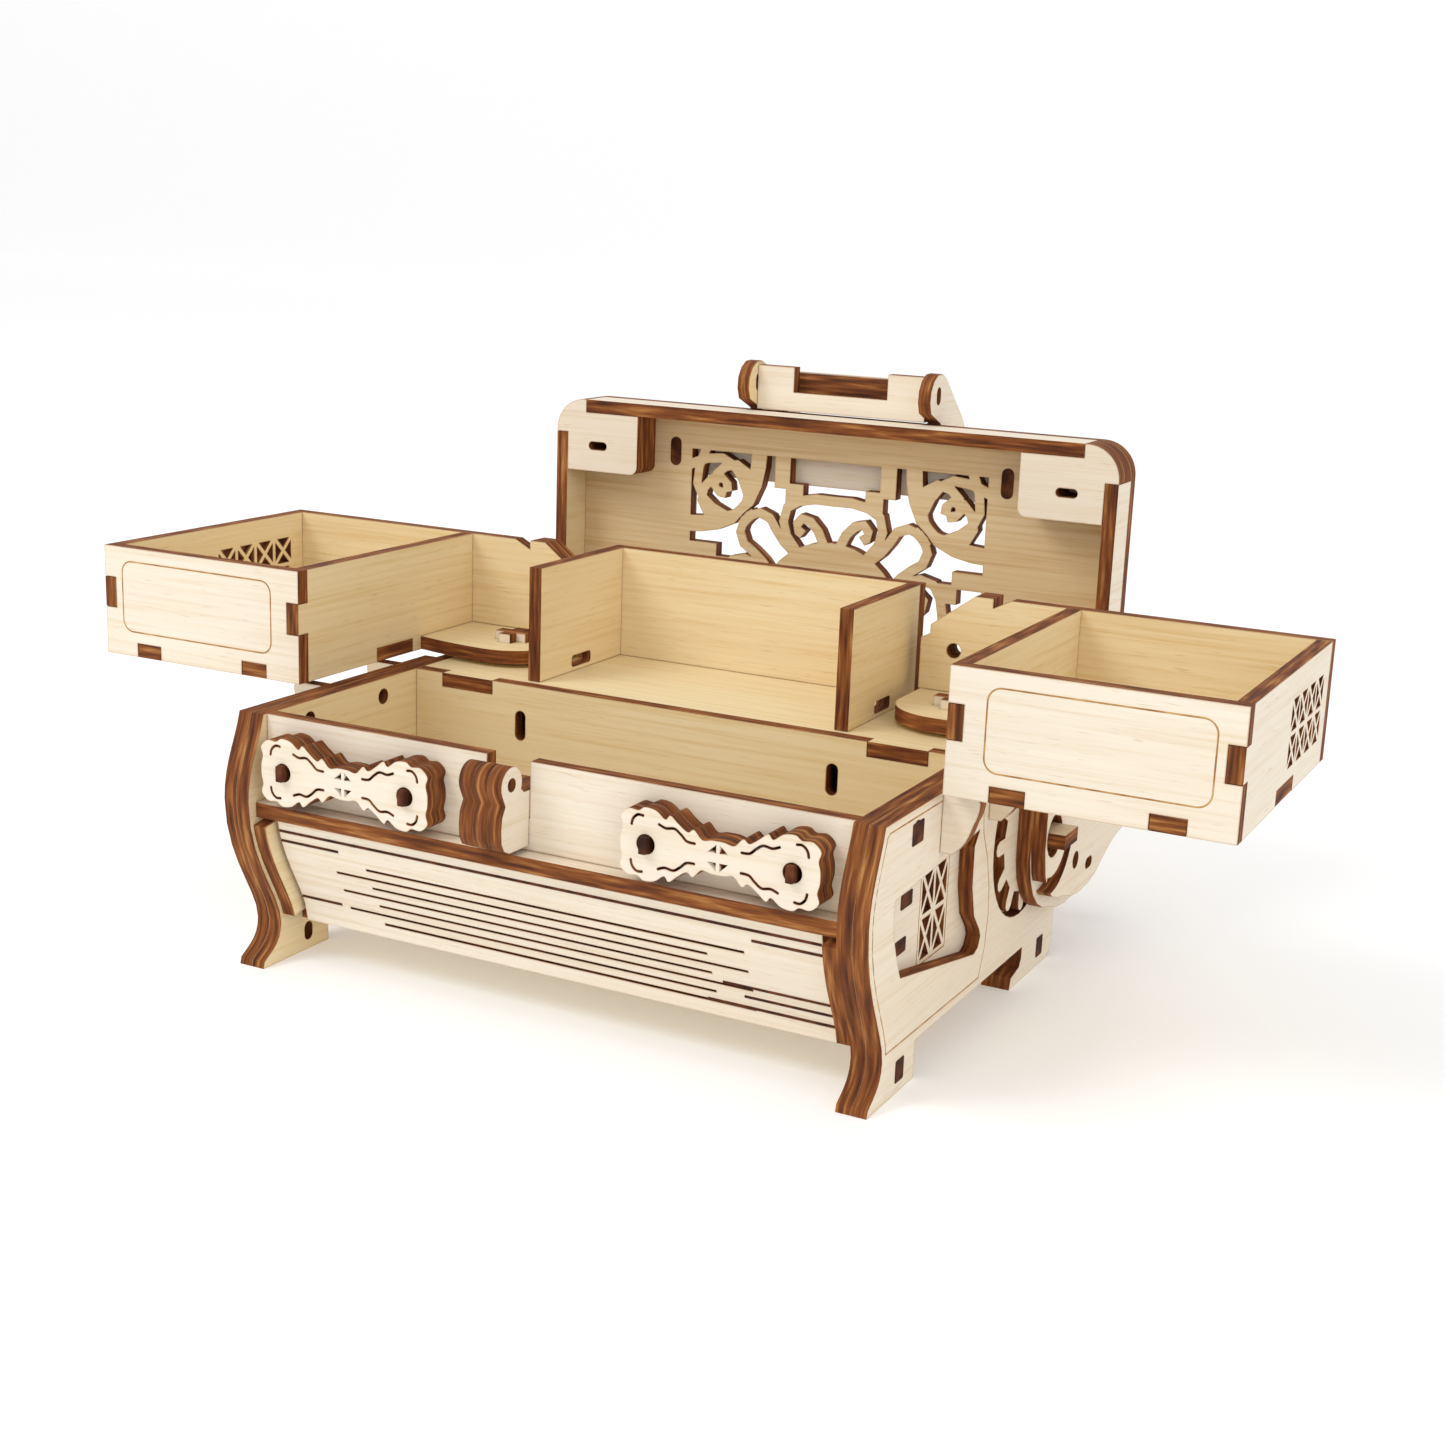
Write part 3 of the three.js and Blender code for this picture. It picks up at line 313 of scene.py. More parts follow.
def veneer_colour(tree, place, tone, grain_axis):
    light, middle, dark = PLY_TONES[tone]
    grain = pattern(tree, place, stretched(GRAIN_LENGTH, GRAIN_PITCH, grain_axis), 4.0, 0.4)
    lines = add_node(tree, "ShaderNodeValToRGB", {"Fac": grain})
    colour_steps(lines, tuple(zip(GRAIN_STEPS, (dark, middle, light))))
    patches = pattern(tree, place, stretched(TONE_PATCH * 2, TONE_PATCH, grain_axis), 2.0)
    shade = add_node(
        tree,
        "ShaderNodeMapRange",
        {
            "Value": patches,
            "From Min": PATCH_RANGE[0],
            "From Max": PATCH_RANGE[1],
            "To Min": 0.0,
            "To Max": PATCH_STRENGTH,
        },
    )
    toned = add_node(
        tree,
        "ShaderNodeMix",
        {"Factor": shade.outputs["Result"], 6: lines.outputs["Color"], 7: colour(dark)},
        data_type="RGBA",
    )
    pores = pattern(tree, place, stretched(FLECK_LENGTH, FLECK_WIDTH, grain_axis), 1.0)
    flecks = add_node(
        tree,
        "ShaderNodeMapRange",
        {
            "Value": pores,
            "From Min": FLECK_RANGE[0],
            "From Max": FLECK_RANGE[1],
            "To Min": 0.0,
            "To Max": FLECK_STRENGTH,
        },
    )
    flecked = add_node(
        tree,
        "ShaderNodeMix",
        {"Factor": flecks.outputs["Result"], 6: toned.outputs[2], 7: colour(FLECK)},
        data_type="RGBA",
    )
    return flecked.outputs[2], grain


print("an edge has", len(EDGE_STEPS), "tones and a face", len(GRAIN_STEPS))

# %% [markdown]
# ### The whole plywood material
#
# The parts come together in one material, which is made once for each of the three ways a sheet can
# face and for each tone. Two pieces need more. The sides of the box are pale outside and yellow
# within: a surface looks towards the middle where its direction and its place along X have
# opposite signs. And the slat panel is bent, so much more of its surface counts as face.

# %% Make the plywood materials
EDGE_ROUGHNESS = 0.82
FACE_ROUGHNESS = 0.6


def faces_the_middle(tree, place):
    way = add_node(tree, "ShaderNodeSeparateXYZ", {"Vector": place.outputs["Normal"]})
    spot = add_node(tree, "ShaderNodeSeparateXYZ", {"Vector": place.outputs["Object"]})
    both = add_node(
        tree, "ShaderNodeMath", {0: way.outputs["X"], 1: spot.outputs["X"]}, operation="MULTIPLY"
    )
    inward = add_node(tree, "ShaderNodeMath", {0: both.outputs[0], 1: 0.0}, operation="LESS_THAN")
    return inward.outputs[0]


def plywood(tone, sheet_axis, flatness=0.9, inside=None):
    material = bpy.data.materials.new(f"birch_plywood_{tone}_laser_cut_{sheet_axis}")
    material.use_nodes = True
    tree = material.node_tree
    shader = tree.nodes["Principled BSDF"]
    place = add_node(tree, "ShaderNodeTexCoord")
    spot = place.outputs["Object"]
    face = is_sheet_face(tree, place.outputs["Normal"], sheet_axis, flatness)
    clean_wood, grain = veneer_colour(tree, spot, tone, ALONG_GRAIN[sheet_axis])
    if inside:
        kept, _ = veneer_colour(tree, spot, inside, ALONG_GRAIN[sheet_axis])
        sides = add_node(
            tree,
            "ShaderNodeMix",
            {"Factor": faces_the_middle(tree, place), 6: clean_wood, 7: kept},
            data_type="RGBA",
        )
        clean_wood = sides.outputs[2]
    smoked = add_node(
        tree,
        "ShaderNodeMix",
        {"Factor": smoke_beside_cuts(tree), 6: clean_wood, 7: colour(SCORCH)},
        data_type="RGBA",
    )
    edge = burnt_edge_colour(tree, spot, sheet_axis)
    mixed = add_node(
        tree, "ShaderNodeMix", {"Factor": face, 6: edge, 7: smoked.outputs[2]}, data_type="RGBA"
    )
    rough = add_node(
        tree,
        "ShaderNodeMapRange",
        {"Value": face, "To Min": EDGE_ROUGHNESS, "To Max": FACE_ROUGHNESS},
    )
    relief = add_node(
        tree,
        "ShaderNodeBump",
        {"Height": grain, "Strength": 0.25, "Distance": GRAIN_RELIEF * MM},
    )
    tree.links.new(mixed.outputs[2], shader.inputs["Base Color"])
    tree.links.new(rough.outputs["Result"], shader.inputs["Roughness"])
    tree.links.new(relief.outputs["Normal"], shader.inputs["Normal"])
    shader.inputs["IOR"].default_value = 1.5
    shader.inputs["Specular IOR Level"].default_value = 0.35
    return material


plies = {(tone, axis): plywood(tone, axis) for tone in PLY_TONES for axis in "xyz"}
side_ply = plywood("pale", "x", inside="warm")
side_ply.name = "birch_plywood_pale_outside_warm_inside"
bent_ply = plywood("pale", "y", flatness=0.45)
bent_ply.name = "birch_plywood_pale_bent_to_the_legs"
print(len(plies) + 2, "plywood materials")

# %% [markdown]
# ## Which way each sheet faces
#
# Nobody has to write down which way sixty sheets face, because the pieces can be asked. Most of a
# sheet's surface looks along its thickness, so adding up the surface that looks along X, Y and Z
# tells the three apart.

# %% Ask each piece which way its sheet faces
def sheet_axis(piece):
    facing = [0.0, 0.0, 0.0]
    for polygon in piece.data.polygons:
        for axis in range(3):
            facing[axis] += polygon.area * polygon.normal[axis] ** 2
    return "xyz"[facing.index(max(facing))]


# A stack of sheets is as thick as it is wide, so its way is written down.
STACKS = {"latch_bracket": "x", "handle_bar": "z"}
sheets = {name: STACKS.get(name) or sheet_axis(piece) for name, piece in nodes.items()}
for axis in "xyz":
    print(axis, sorted(name for name, way in sheets.items() if way == axis))

# %% [markdown]
# ## Dressing the solid pieces
#
# The outside of the box is pale, while the insides of the trays and the compartment are yellow,
# and the lid's panel is tan. The tone therefore goes by what a piece is. Pale sheets that face
# sideways get the wood that is yellow towards the middle of the box, and the slat panel gets the
# wood that is made for a bent sheet.

# %% Give each piece its wood
WARM_PIECES = (
    "middle_wall",
    "compartment",
    "base_board",
    "tray_bottom",
    "tray_inner",
    "tray_back",
    "deck",
)
TAN_PIECES = ("lid_panel",)


def tone_of(name):
    if name.startswith(TAN_PIECES):
        return "tan"
    return "warm" if name.startswith(WARM_PIECES) else "pale"


for name, piece in nodes.items():
    piece.data.materials.clear()
    of_the_side = tone_of(name) == "pale" and sheets[name] == "x"
    piece.data.materials.append(side_ply if of_the_side else plies[tone_of(name), sheets[name]])
nodes["front_slat_panel"].data.materials[0] = bent_ply
print("dressed", len(nodes), "pieces")

# %% [markdown]
# ## Lines drawn by the laser
#
# At low power the laser does not cut: it scorches a line a third of a millimetre wide. Such lines
# frame the tray fronts, the lattice windows and the sides of the case. A line follows a path, so
# Geometry Nodes make it: a curve gets a round section and is then pressed almost flat against its
# sheet. The same tree serves every line, because the path, the width, the sheet's direction and its
# height are inputs. Inputs are set by the identifier of their socket.

# %% A tree that draws a scorched line
PRESSED = 0.8  # how much of its height the line loses


def tree_socket(tree, name, kind, in_out="INPUT"):
    return tree.interface.new_socket(name=name, in_out=in_out, socket_type=kind)


def line_tree():
    tree = bpy.data.node_groups.new("scorched_line", "GeometryNodeTree")
    tree_socket(tree, "Geometry", "NodeSocketGeometry")
    tree_socket(tree, "Line width", "NodeSocketFloat")
    tree_socket(tree, "Sheet direction", "NodeSocketVector")
    tree_socket(tree, "Sheet height", "NodeSocketFloat")
    tree_socket(tree, "Wood", "NodeSocketMaterial")
    tree_socket(tree, "Geometry", "NodeSocketGeometry", "OUTPUT")
    given = add_node(tree, "NodeGroupInput").outputs
    radius = add_node(
        tree, "ShaderNodeMath", {0: given["Line width"], 1: 0.5}, operation="MULTIPLY"
    )
    section = add_node(
        tree, "GeometryNodeCurvePrimitiveCircle", {"Resolution": 6, "Radius": radius.outputs[0]}
    )
    tube = add_node(
        tree,
        "GeometryNodeCurveToMesh",
        {
            "Curve": given["Geometry"],
            "Profile Curve": section.outputs["Curve"],
            "Fill Caps": True,
        },
    )
    place = add_node(tree, "GeometryNodeInputPosition").outputs["Position"]
    along = add_node(
        tree,
        "ShaderNodeVectorMath",
        {0: place, 1: given["Sheet direction"]},
        operation="DOT_PRODUCT",
    )
    above = add_node(
        tree,
        "ShaderNodeMath",
        {0: given["Sheet height"], 1: along.outputs["Value"]},
        operation="SUBTRACT",
    )
    press = add_node(
        tree, "ShaderNodeMath", {0: above.outputs[0], 1: PRESSED}, operation="MULTIPLY"
    )
    shift = add_node(
        tree,
        "ShaderNodeVectorMath",
        {0: given["Sheet direction"], "Scale": press.outputs[0]},
        operation="SCALE",
    )
    flat = add_node(
        tree,
        "GeometryNodeSetPosition",
        {"Geometry": tube.outputs["Mesh"], "Offset": shift.outputs["Vector"]},
    )
    real = add_node(tree, "GeometryNodeRealizeInstances", {"Geometry": flat.outputs["Geometry"]})
    wood = add_node(
        tree,
        "GeometryNodeSetMaterial",
        {"Geometry": real.outputs["Geometry"], "Material": given["Wood"]},
    )
    add_node(tree, "NodeGroupOutput", {"Geometry": wood.outputs["Geometry"]})
    return tree


SCORCHED_LINES = line_tree()
print("the line tree has", len(SCORCHED_LINES.nodes), "nodes")

# %% [markdown]
# ### Running a tree
#
# A tree works through a modifier on an object. The finished shape is then copied out as a plain
# mesh, and the helper object is thrown away. Meshes that belong to one piece are joined under its
# name, with their doubled points merged, and the piece rides on the body that it moves with.

# %% Run a tree on an object, and join meshes to a piece
DOUBLED = 1e-7  # m between two points that are one


def run_tree(holder, tree, **inputs):
    bpy.context.scene.collection.objects.link(holder)
    modifier = holder.modifiers.new(tree.name, "NODES")
    modifier.node_group = tree
    identifiers = {
        item.name.lower().replace(" ", "_"): item.identifier
        for item in tree.interface.items_tree
        if item.item_type == "SOCKET" and item.in_out == "INPUT"
    }
    for name, value in inputs.items():
        modifier[identifiers[name]] = value
    graph = bpy.context.evaluated_depsgraph_get()
    made = bpy.data.meshes.new_from_object(holder.evaluated_get(graph))
    bpy.data.objects.remove(holder)
    return made


def one_object(name, meshes, material, body):
    gathered = bmesh.new()
    for mesh in meshes:
        gathered.from_mesh(mesh)
    bmesh.ops.remove_doubles(gathered, verts=gathered.verts, dist=DOUBLED)
    bmesh.ops.recalc_face_normals(gathered, faces=gathered.faces)
    joined = bpy.data.meshes.new(name)
    gathered.to_mesh(joined)
    gathered.free()
    joined.materials.clear()
    joined.materials.append(material)
    piece = bpy.data.objects.new(name, joined)
    bpy.context.scene.collection.objects.link(piece)
    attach(piece, body)
    print(name, len(joined.polygons), "faces on", body)
    return piece


def path(points, closed=True):
    curve = bpy.data.curves.new("path", "CURVE")
    curve.dimensions = "3D"
    spline = curve.splines.new("POLY")
    spline.points.add(len(points) - 1)
    for point, where in zip(spline.points, points):
        point.co = (*where, 1)
    spline.use_cyclic_u = closed
    return bpy.data.objects.new("path", curve)


# %% [markdown]
# ### The wood of a scorched line
#
# The line is toasted, not charred: a warm brown that varies along its length, because the laser
# lingers where it turns. It is duller than the sanded face. A deeper cut chars the wood, and so
# does the end of a tab, so the same recipe makes a second, much darker wood.

# %% The scorched wood
BLOTCH = 3.5  # mm across a darker spot


def scorched_wood(name, steps):
    material = bpy.data.materials.new(name)
    material.use_nodes = True
    tree = material.node_tree
    shader = tree.nodes["Principled BSDF"]
    place = add_node(tree, "ShaderNodeTexCoord")
    blotches = pattern(tree, place.outputs["Object"], [1 / (BLOTCH * MM)] * 3, 3.0)
    toast = add_node(tree, "ShaderNodeValToRGB", {"Fac": blotches})
    colour_steps(toast, steps)
    tree.links.new(toast.outputs["Color"], shader.inputs["Base Color"])
    shader.inputs["Roughness"].default_value = 0.85
    shader.inputs["Specular IOR Level"].default_value = 0.3
    return material


toasted = scorched_wood(
    "birch_face_toasted_by_a_low_laser", ((0.35, "#9A6A34"), (0.5, "#B3854C"), (0.66, "#C9A066"))
)
charred = scorched_wood(
    "birch_tab_end_charred_by_the_laser", ((0.32, "#2E1407"), (0.5, "#4A230E"), (0.7, "#6E3B1A"))
)
print("two scorched woods")

# %% [markdown]
# ### A rounded rectangle
#
# Two kinds of line are rectangles with rounded corners: the frame of a tray front and that of a
# lattice window. Such an outline is four corner arcs in a row, each a quarter of a turn, and the
# straight sides are simply the gaps between them.

# %% Rounded rectangles
def rounded_rectangle(left, low, right, high, radius, steps=6):
    corners = (
        (right - radius, high - radius, 0),
        (left + radius, high - radius, 90),
        (left + radius, low + radius, 180),
        (right - radius, low + radius, 270),
    )
    return [
        (
            u + radius * math.cos(math.radians(start + 90 * i / steps)),
            v + radius * math.sin(math.radians(start + 90 * i / steps)),
        )
        for u, v, start in corners
        for i in range(steps + 1)
    ]


print("a rounded rectangle has", len(rounded_rectangle(0, 0, 9, 9, 1)), "points")

# %% [markdown]
# ### The outline of a plate
#
# The frame on the side of the case follows the plate's own outline, so that outline is asked from
# the plate. The outer face is made of triangles, and an edge that two of them share lies inside the
# face. What is left are the edges that belong to one triangle only, and following them from end to
# end gives the outline and the holes.

# %% Find the outlines of a flat face
FLAT = 0.02  # mm that a corner may stand off the face


def face_outlines(node, axis, height):
    """Loops of (u, v) in the maker's millimetres, round the flat face at that height."""
    mesh = nodes[node].data
    spots = [(v.co - at(0, 0, 0)) / MM for v in mesh.vertices]
    keys = [tuple(round(c, 2) for c in spot) for spot in spots]
    edges = {}
    for polygon in mesh.polygons:
        corners = [keys[i] for i in polygon.vertices]
        if all(abs(c[axis] - height) < FLAT for c in corners):
            for a, b in zip(corners, corners[1:] + corners[:1]):
                if (b, a) in edges:
                    del edges[(b, a)]
                else:
                    edges[(a, b)] = True
    follow = {a: b for a, b in edges}
    loops = []
    while follow:
        start, here = next(iter(follow.items()))
        del follow[start]
        loop = [start]
        while here in follow:
            loop.append(here)
            here = follow.pop(here)
        loops.append([tuple(c for i, c in enumerate(p) if i != axis) for p in loop])
    return loops


def area_of(loop):
    return sum(a[0] * b[1] - b[0] * a[1] for a, b in zip(loop, loop[1:] + loop[:1])) / 2


SIDE_FACE = 70.5
INNER_FACE = 67.4
plate_outline = max(
    face_outlines("side_plate_outer_right", 0, SIDE_FACE), key=lambda loop: abs(area_of(loop))
)
print("the side plate's outline has", len(plate_outline), "corners")

# %% [markdown]
# ### A line that keeps its distance
#
# To move an outline inwards, it first gets a point at least every millimetre. Each point then moves
# in square to the two stretches that meet in it. Points that end up closer than that distance to
# another stretch of the outline are dropped, which trims the inner corners.

# %% Move an outline inwards
NEARLY = 0.97  # of the wanted distance is near enough to keep a point


def distance_to(loop, point):
    best = 1e9
    p = Vector(point)
    for a, b in zip(loop, loop[1:] + loop[:1]):
        a, b = Vector(a), Vector(b)
        t = max(0.0, min(1.0, (p - a).dot(b - a) / max((b - a).length_squared, 1e-9)))
        best = min(best, (p - a - (b - a) * t).length)
    return best


def evenly(loop, pitch=1.0):
    """The same outline with a point at least every pitch millimetres."""
    points = []
    for a, b in zip(loop, loop[1:] + loop[:1]):
        a, b = Vector(a), Vector(b)
        count = max(1, round((b - a).length / pitch))
        points += [tuple(a.lerp(b, i / count)) for i in range(count)]
    return points


def inset(loop, gap):
    side = 1 if area_of(loop) > 0 else -1
    moved = []
    for before, here, after in zip(loop[-1:] + loop[:-1], loop, loop[1:] + loop[:1]):
        here = Vector(here)
        one = (here - Vector(before)).normalized()
        two = (Vector(after) - here).normalized()
        for way in (one, two):
            moved.append(here + Vector((-way.y, way.x)) * gap * side)
    return [tuple(p) for p in moved if distance_to(loop, p) > gap * NEARLY]


side_outline = evenly(plate_outline)
print("with a point every millimetre the outline has", len(side_outline))

# %% [markdown]
# ### Lines on the sides of the case
#
# On the side of the case one closed line frames the front panel: it keeps 1.6 mm from the plate's
# front edge, and comes back up behind the recess in a shallow curve. The plate's outline may start
# anywhere, so the points are turned round until the widest gap between them comes last. The lattice
# window has a thin frame on the inner plate. The right side is drawn and the left is its mirror
# image.

# %% Draw the lines on the case
LINE = 0.36
FRAME_GAP = 1.6
FRAME_BACK = 3  # the part of the outline behind this is left out
FRAME_FOOT = 9.2  # and so is the part below this
BEHIND_RECESS = ((6.5, 9.2), (8.9, 15.0), (9.7, 21.1), (9.2, 27.0), (7.2, 33.5), (3.9, 39.9))
WINDOW_PLACE = (-22, -3, 17, 40)  # the lattice's holes lie within these: back, front, low, high
WINDOW_GAP = 0.9


def scorched(points, sheet, height):
    """A closed line through maker's points (x, y, z) on the face of a sheet at that height."""
    axis = "xyz".index(sheet)
    direction = Vector((0, 0, 0))
    direction[axis] = 1
    return run_tree(
        path([at(*p) for p in points]),
        SCORCHED_LINES,
        line_width=LINE * MM,
        sheet_direction=direction,
        sheet_height=at(height, height, height)[axis],
        wood=toasted,
    )


def side_frame():
    moved = inset(side_outline, FRAME_GAP)
    front = [(y, z) for y, z in moved if y < FRAME_BACK and z > FRAME_FOOT]
    gaps = [(Vector(b) - Vector(a)).length for a, b in zip(front, front[1:] + front[:1])]
    first = (gaps.index(max(gaps)) + 1) % len(front)
    downwards = front[first:] + front[:first]
    if downwards[0][1] < downwards[-1][1]:
        downwards.reverse()
    return downwards + list(BEHIND_RECESS)


def window_frame():
    y_from, y_to, z_from, z_to = WINDOW_PLACE
    corners = [
        corner
        for loop in face_outlines("side_plate_inner_right", 0, INNER_FACE)
        if all(y_from < y < y_to and z_from < z < z_to for y, z in loop)
        for corner in loop
    ]
    ys, zs = zip(*corners)
    return rounded_rectangle(
        min(ys) - WINDOW_GAP,
        min(zs) - WINDOW_GAP,
        max(ys) + WINDOW_GAP,
        max(zs) + WINDOW_GAP,
        radius=0.4,
        steps=2,
    )


case_lines = []
for side in (1, -1):
    for points, height in ((side_frame(), SIDE_FACE), (window_frame(), INNER_FACE)):
        line = [(side * height, y, z) for y, z in points]
        case_lines.append(scorched(line, "x", side * height))
one_object("engraved_lines_case", case_lines, toasted, "case")

# %% [markdown]
# ### Score lines across the slat panel
#
# Most slits of the slat panel are real gaps in the solid piece. Those that start at its ends, and
# the long one near its top, are drawn as charred lines. The panel is bent, so a ray sent backwards
# at its plain end finds how far forward it is at a given height. These lines are not pressed flat:
# their sheet direction is left at nothing.

# %% Draw the score lines
SLAT_END = 59.5
SLAT_LINE = 0.6
SLAT_SCORES = (
    (-60, 60, 30.4),
    (-60, -46, 28.2),
    (46, 60, 28.2),
    (-60, -50, 14.6),
    (38, 60, 17.0),
    (42, 60, 14.6),
    (34, 60, 12.2),
)  # from x, to x, and the height


def slat_front(z):
    """How far forward the slat panel is at that height."""
    panel = nodes["front_slat_panel"]
    _, place, _, _ = panel.ray_cast(at(SLAT_END, -90, z), Vector((0, 1, 0)))
    return (place.y - CASE_MIDDLE_Y) / MM


slat_lines = [
    run_tree(
        path([at(x, slat_front(z), z) for x in (low, high)], closed=False),
        SCORCHED_LINES,
        line_width=SLAT_LINE * MM,
        sheet_direction=Vector((0, 0, 0)),
        sheet_height=0.0,
        wood=charred,
    )
    for low, high, z in SLAT_SCORES
]
one_object("slat_score_lines", slat_lines, charred, "case")

# %% [markdown]
# ### Lines on the tray fronts
#
# Each tray front has a rounded frame, as long as a label. It lies on the tray's front face and
# rides with its tray.

# %% Draw the lines on the trays
TRAY_FRONT = -24.5
TRAY_FRAME = (79.6, 60.0, 120.4, 75.5)  # inner end, low, outer end, high
TRAY_FRAME_RADIUS = 2.6

for name, side in (("left", -1), ("right", 1)):
    outline = rounded_rectangle(*TRAY_FRAME, TRAY_FRAME_RADIUS)
    line = scorched([(side * x, TRAY_FRONT, z) for x, z in outline], "y", TRAY_FRONT)
    one_object("engraved_line_tray_" + name, [line], toasted, "tray_" + name)

# %% [markdown]
# ## Tab ends in their slots
#
# Where a tab passes through a slot, its charred end shows as a small dark rectangle, flush with the
# face. They repeat all over such a box, so a second tree makes them: a rounded rectangle is filled,
# given a little thickness and placed on every point that it is given. Its length, width and turn
# are inputs, and the same tree makes the tenons seen in the round holes of the ornaments.

# %% A tree that sets tab ends on points
WELD = 0.00001  # m, well below the size of a tab's corner


def tab_tree():
    tree = bpy.data.node_groups.new("tab_ends", "GeometryNodeTree")
    tree_socket(tree, "Geometry", "NodeSocketGeometry")
    tree_socket(tree, "Tab length", "NodeSocketFloat")
    tree_socket(tree, "Tab width", "NodeSocketFloat")
    tree_socket(tree, "Corner", "NodeSocketFloat")
    tree_socket(tree, "Thickness", "NodeSocketFloat")
    tree_socket(tree, "Turn", "NodeSocketRotation")
    tree_socket(tree, "Wood", "NodeSocketMaterial")
    tree_socket(tree, "Geometry", "NodeSocketGeometry", "OUTPUT")
    given = add_node(tree, "NodeGroupInput").outputs
    outline = add_node(
        tree,
        "GeometryNodeCurvePrimitiveQuadrilateral",
        {"Width": given["Tab length"], "Height": given["Tab width"]},
    )
    rounded = add_node(
        tree,
        "GeometryNodeFilletCurve",
        {"Curve": outline.outputs["Curve"], "Radius": given["Corner"], "Count": 4},
        mode="POLY",
    )
    filled = add_node(
        tree, "GeometryNodeFillCurve", {"Curve": rounded.outputs["Curve"]}, mode="NGONS"
    )
    raised = add_node(
        tree,
        "GeometryNodeExtrudeMesh",
        {"Mesh": filled.outputs["Mesh"], "Offset Scale": given["Thickness"]},
    )
    back = add_node(tree, "GeometryNodeFlipFaces", {"Mesh": filled.outputs["Mesh"]})
    closed = add_node(tree, "GeometryNodeJoinGeometry")
    tree.links.new(raised.outputs["Mesh"], closed.inputs["Geometry"])
    tree.links.new(back.outputs["Mesh"], closed.inputs["Geometry"])
    tab = add_node(tree, "GeometryNodeMergeByDistance", {"Geometry": closed.outputs["Geometry"]})
    tab.inputs["Distance"].default_value = WELD
    placed = add_node(
        tree,
        "GeometryNodeInstanceOnPoints",
        {
            "Points": given["Geometry"],
            "Instance": tab.outputs["Geometry"],
            "Rotation": given["Turn"],
        },
    )
    real = add_node(tree, "GeometryNodeRealizeInstances", {"Geometry": placed.outputs["Instances"]})
    wood = add_node(
        tree,
        "GeometryNodeSetMaterial",
        {"Geometry": real.outputs["Geometry"], "Material": given["Wood"]},
    )
    add_node(tree, "NodeGroupOutput", {"Geometry": wood.outputs["Geometry"]})
    return tree


TAB_ENDS = tab_tree()
print("the tab tree has", len(TAB_ENDS.nodes), "nodes")

# %% [markdown]
# ### Placing the tab ends
#
# The inner plate shows two tabs of the rib behind it, the outer plate one of the front wall, and
# each foot one of the plate that stiffens it. The lid shows the two tenons of the board that holds
# the handle. Each end is 0.15 mm thick and sunk by a third of that, so it stands a tenth of a
# millimetre proud, as a tab does that is a hair too long.

# %% Place the tab ends
TAB_THICKNESS = 0.15
SUNK = 0.05
LID_FACE = 82.5
FACING = {
    "right": (math.pi / 2, 0.0, math.pi / 2),
    "left": (math.pi / 2, 0.0, -math.pi / 2),
    "front": (math.pi / 2, 0.0, 0.0),
}


def tab_ends(points, facing, length, width, corner, thickness=TAB_THICKNESS):
    spots = bpy.data.meshes.new("spots")
    spots.from_pydata([at(*p) for p in points], [], [])
    holder = bpy.data.objects.new("spots", spots)
    return run_tree(
        holder,
        TAB_ENDS,
        tab_length=length * MM,
        tab_width=width * MM,
        corner=corner * MM,
        thickness=thickness * MM,
        turn=FACING[facing],
        wood=charred,
    )


case_tabs = []
for facing, side in (("right", 1), ("left", -1)):
    inner = side * (INNER_FACE - SUNK)
    outer = side * (SIDE_FACE - SUNK)
    ribs = [(inner, -26.4, 34.4), (inner, -28.4, 25.9)]
    front_wall = [(outer, -30.6, 48.8)]
    feet = [(outer, -32.8, 4.3), (outer, 43.6, 4.3)]
    case_tabs.append(tab_ends(ribs, facing, 5.4, 2.9, 0.4))
    case_tabs.append(tab_ends(front_wall, facing, 5.2, 4.2, 0.4))
    case_tabs.append(tab_ends(feet, facing, 3.8, 4.4, 0.4))
one_object("tab_ends_case", case_tabs, charred, "case")
lid_tabs = tab_ends([(x, LID_FACE + SUNK, 96.5) for x in (-42.5, 42.5)], "front", 2.9, 6.9, 1.4)
one_object("tab_ends_lid", [lid_tabs], charred, "lid")

# %% [markdown]
# ## Sheets cut to a free outline
#
# The two ornaments and the latch are stacks of sheets with curved outlines and holes. A flat curve
# in Blender is just that: closed outlines with a thickness, where an outline that lies inside
# another is a hole. A smooth curve through a few given points gives the flowing edge of a laser
# cut. The curve becomes a mesh before it is put in its place. Its doubled points are merged when
# the sheets are joined, so each sheet is one closed body.

# %% A sheet from outlines
def flowing(points, steps=5):
    """A closed Catmull-Rom curve through (u, v) points."""
    count = len(points)
    smooth = []
    for i in range(count):
        p0, p1, p2, p3 = (Vector(points[(i + k) % count]) for k in (-1, 0, 1, 2))
        for step in range(steps):
            t = step / steps
            straight = 2 * p1 + (p2 - p0) * t
            bent = (2 * p0 - 5 * p1 + 4 * p2 - p3) * t * t
            smooth.append(0.5 * (straight + bent + (3 * p1 - p0 - 3 * p2 + p3) * t**3))
    return [tuple(p) for p in smooth]


def circle(u, v, radius, count=20):
    turns = [2 * math.pi * i / count for i in range(count)]
    return [(u + radius * math.cos(turn), v + radius * math.sin(turn)) for turn in turns]


def slit(points, width, steps=5):
    """A narrow slot with pointed ends along an open line."""
    there_and_back = flowing([*points, *points[-2:0:-1]], steps)
    line = [Vector(p) for p in there_and_back[: steps * (len(points) - 1) + 1]]
    left, right = [], []
    for i in range(1, len(line) - 1):
        way = (line[i + 1] - line[i - 1]).normalized()
        across = Vector((-way.y, way.x)) * width / 2
        left.append(tuple(line[i] + across))
        right.append(tuple(line[i] - across))
    return [tuple(line[0])] + left + [tuple(line[-1])] + right[::-1]


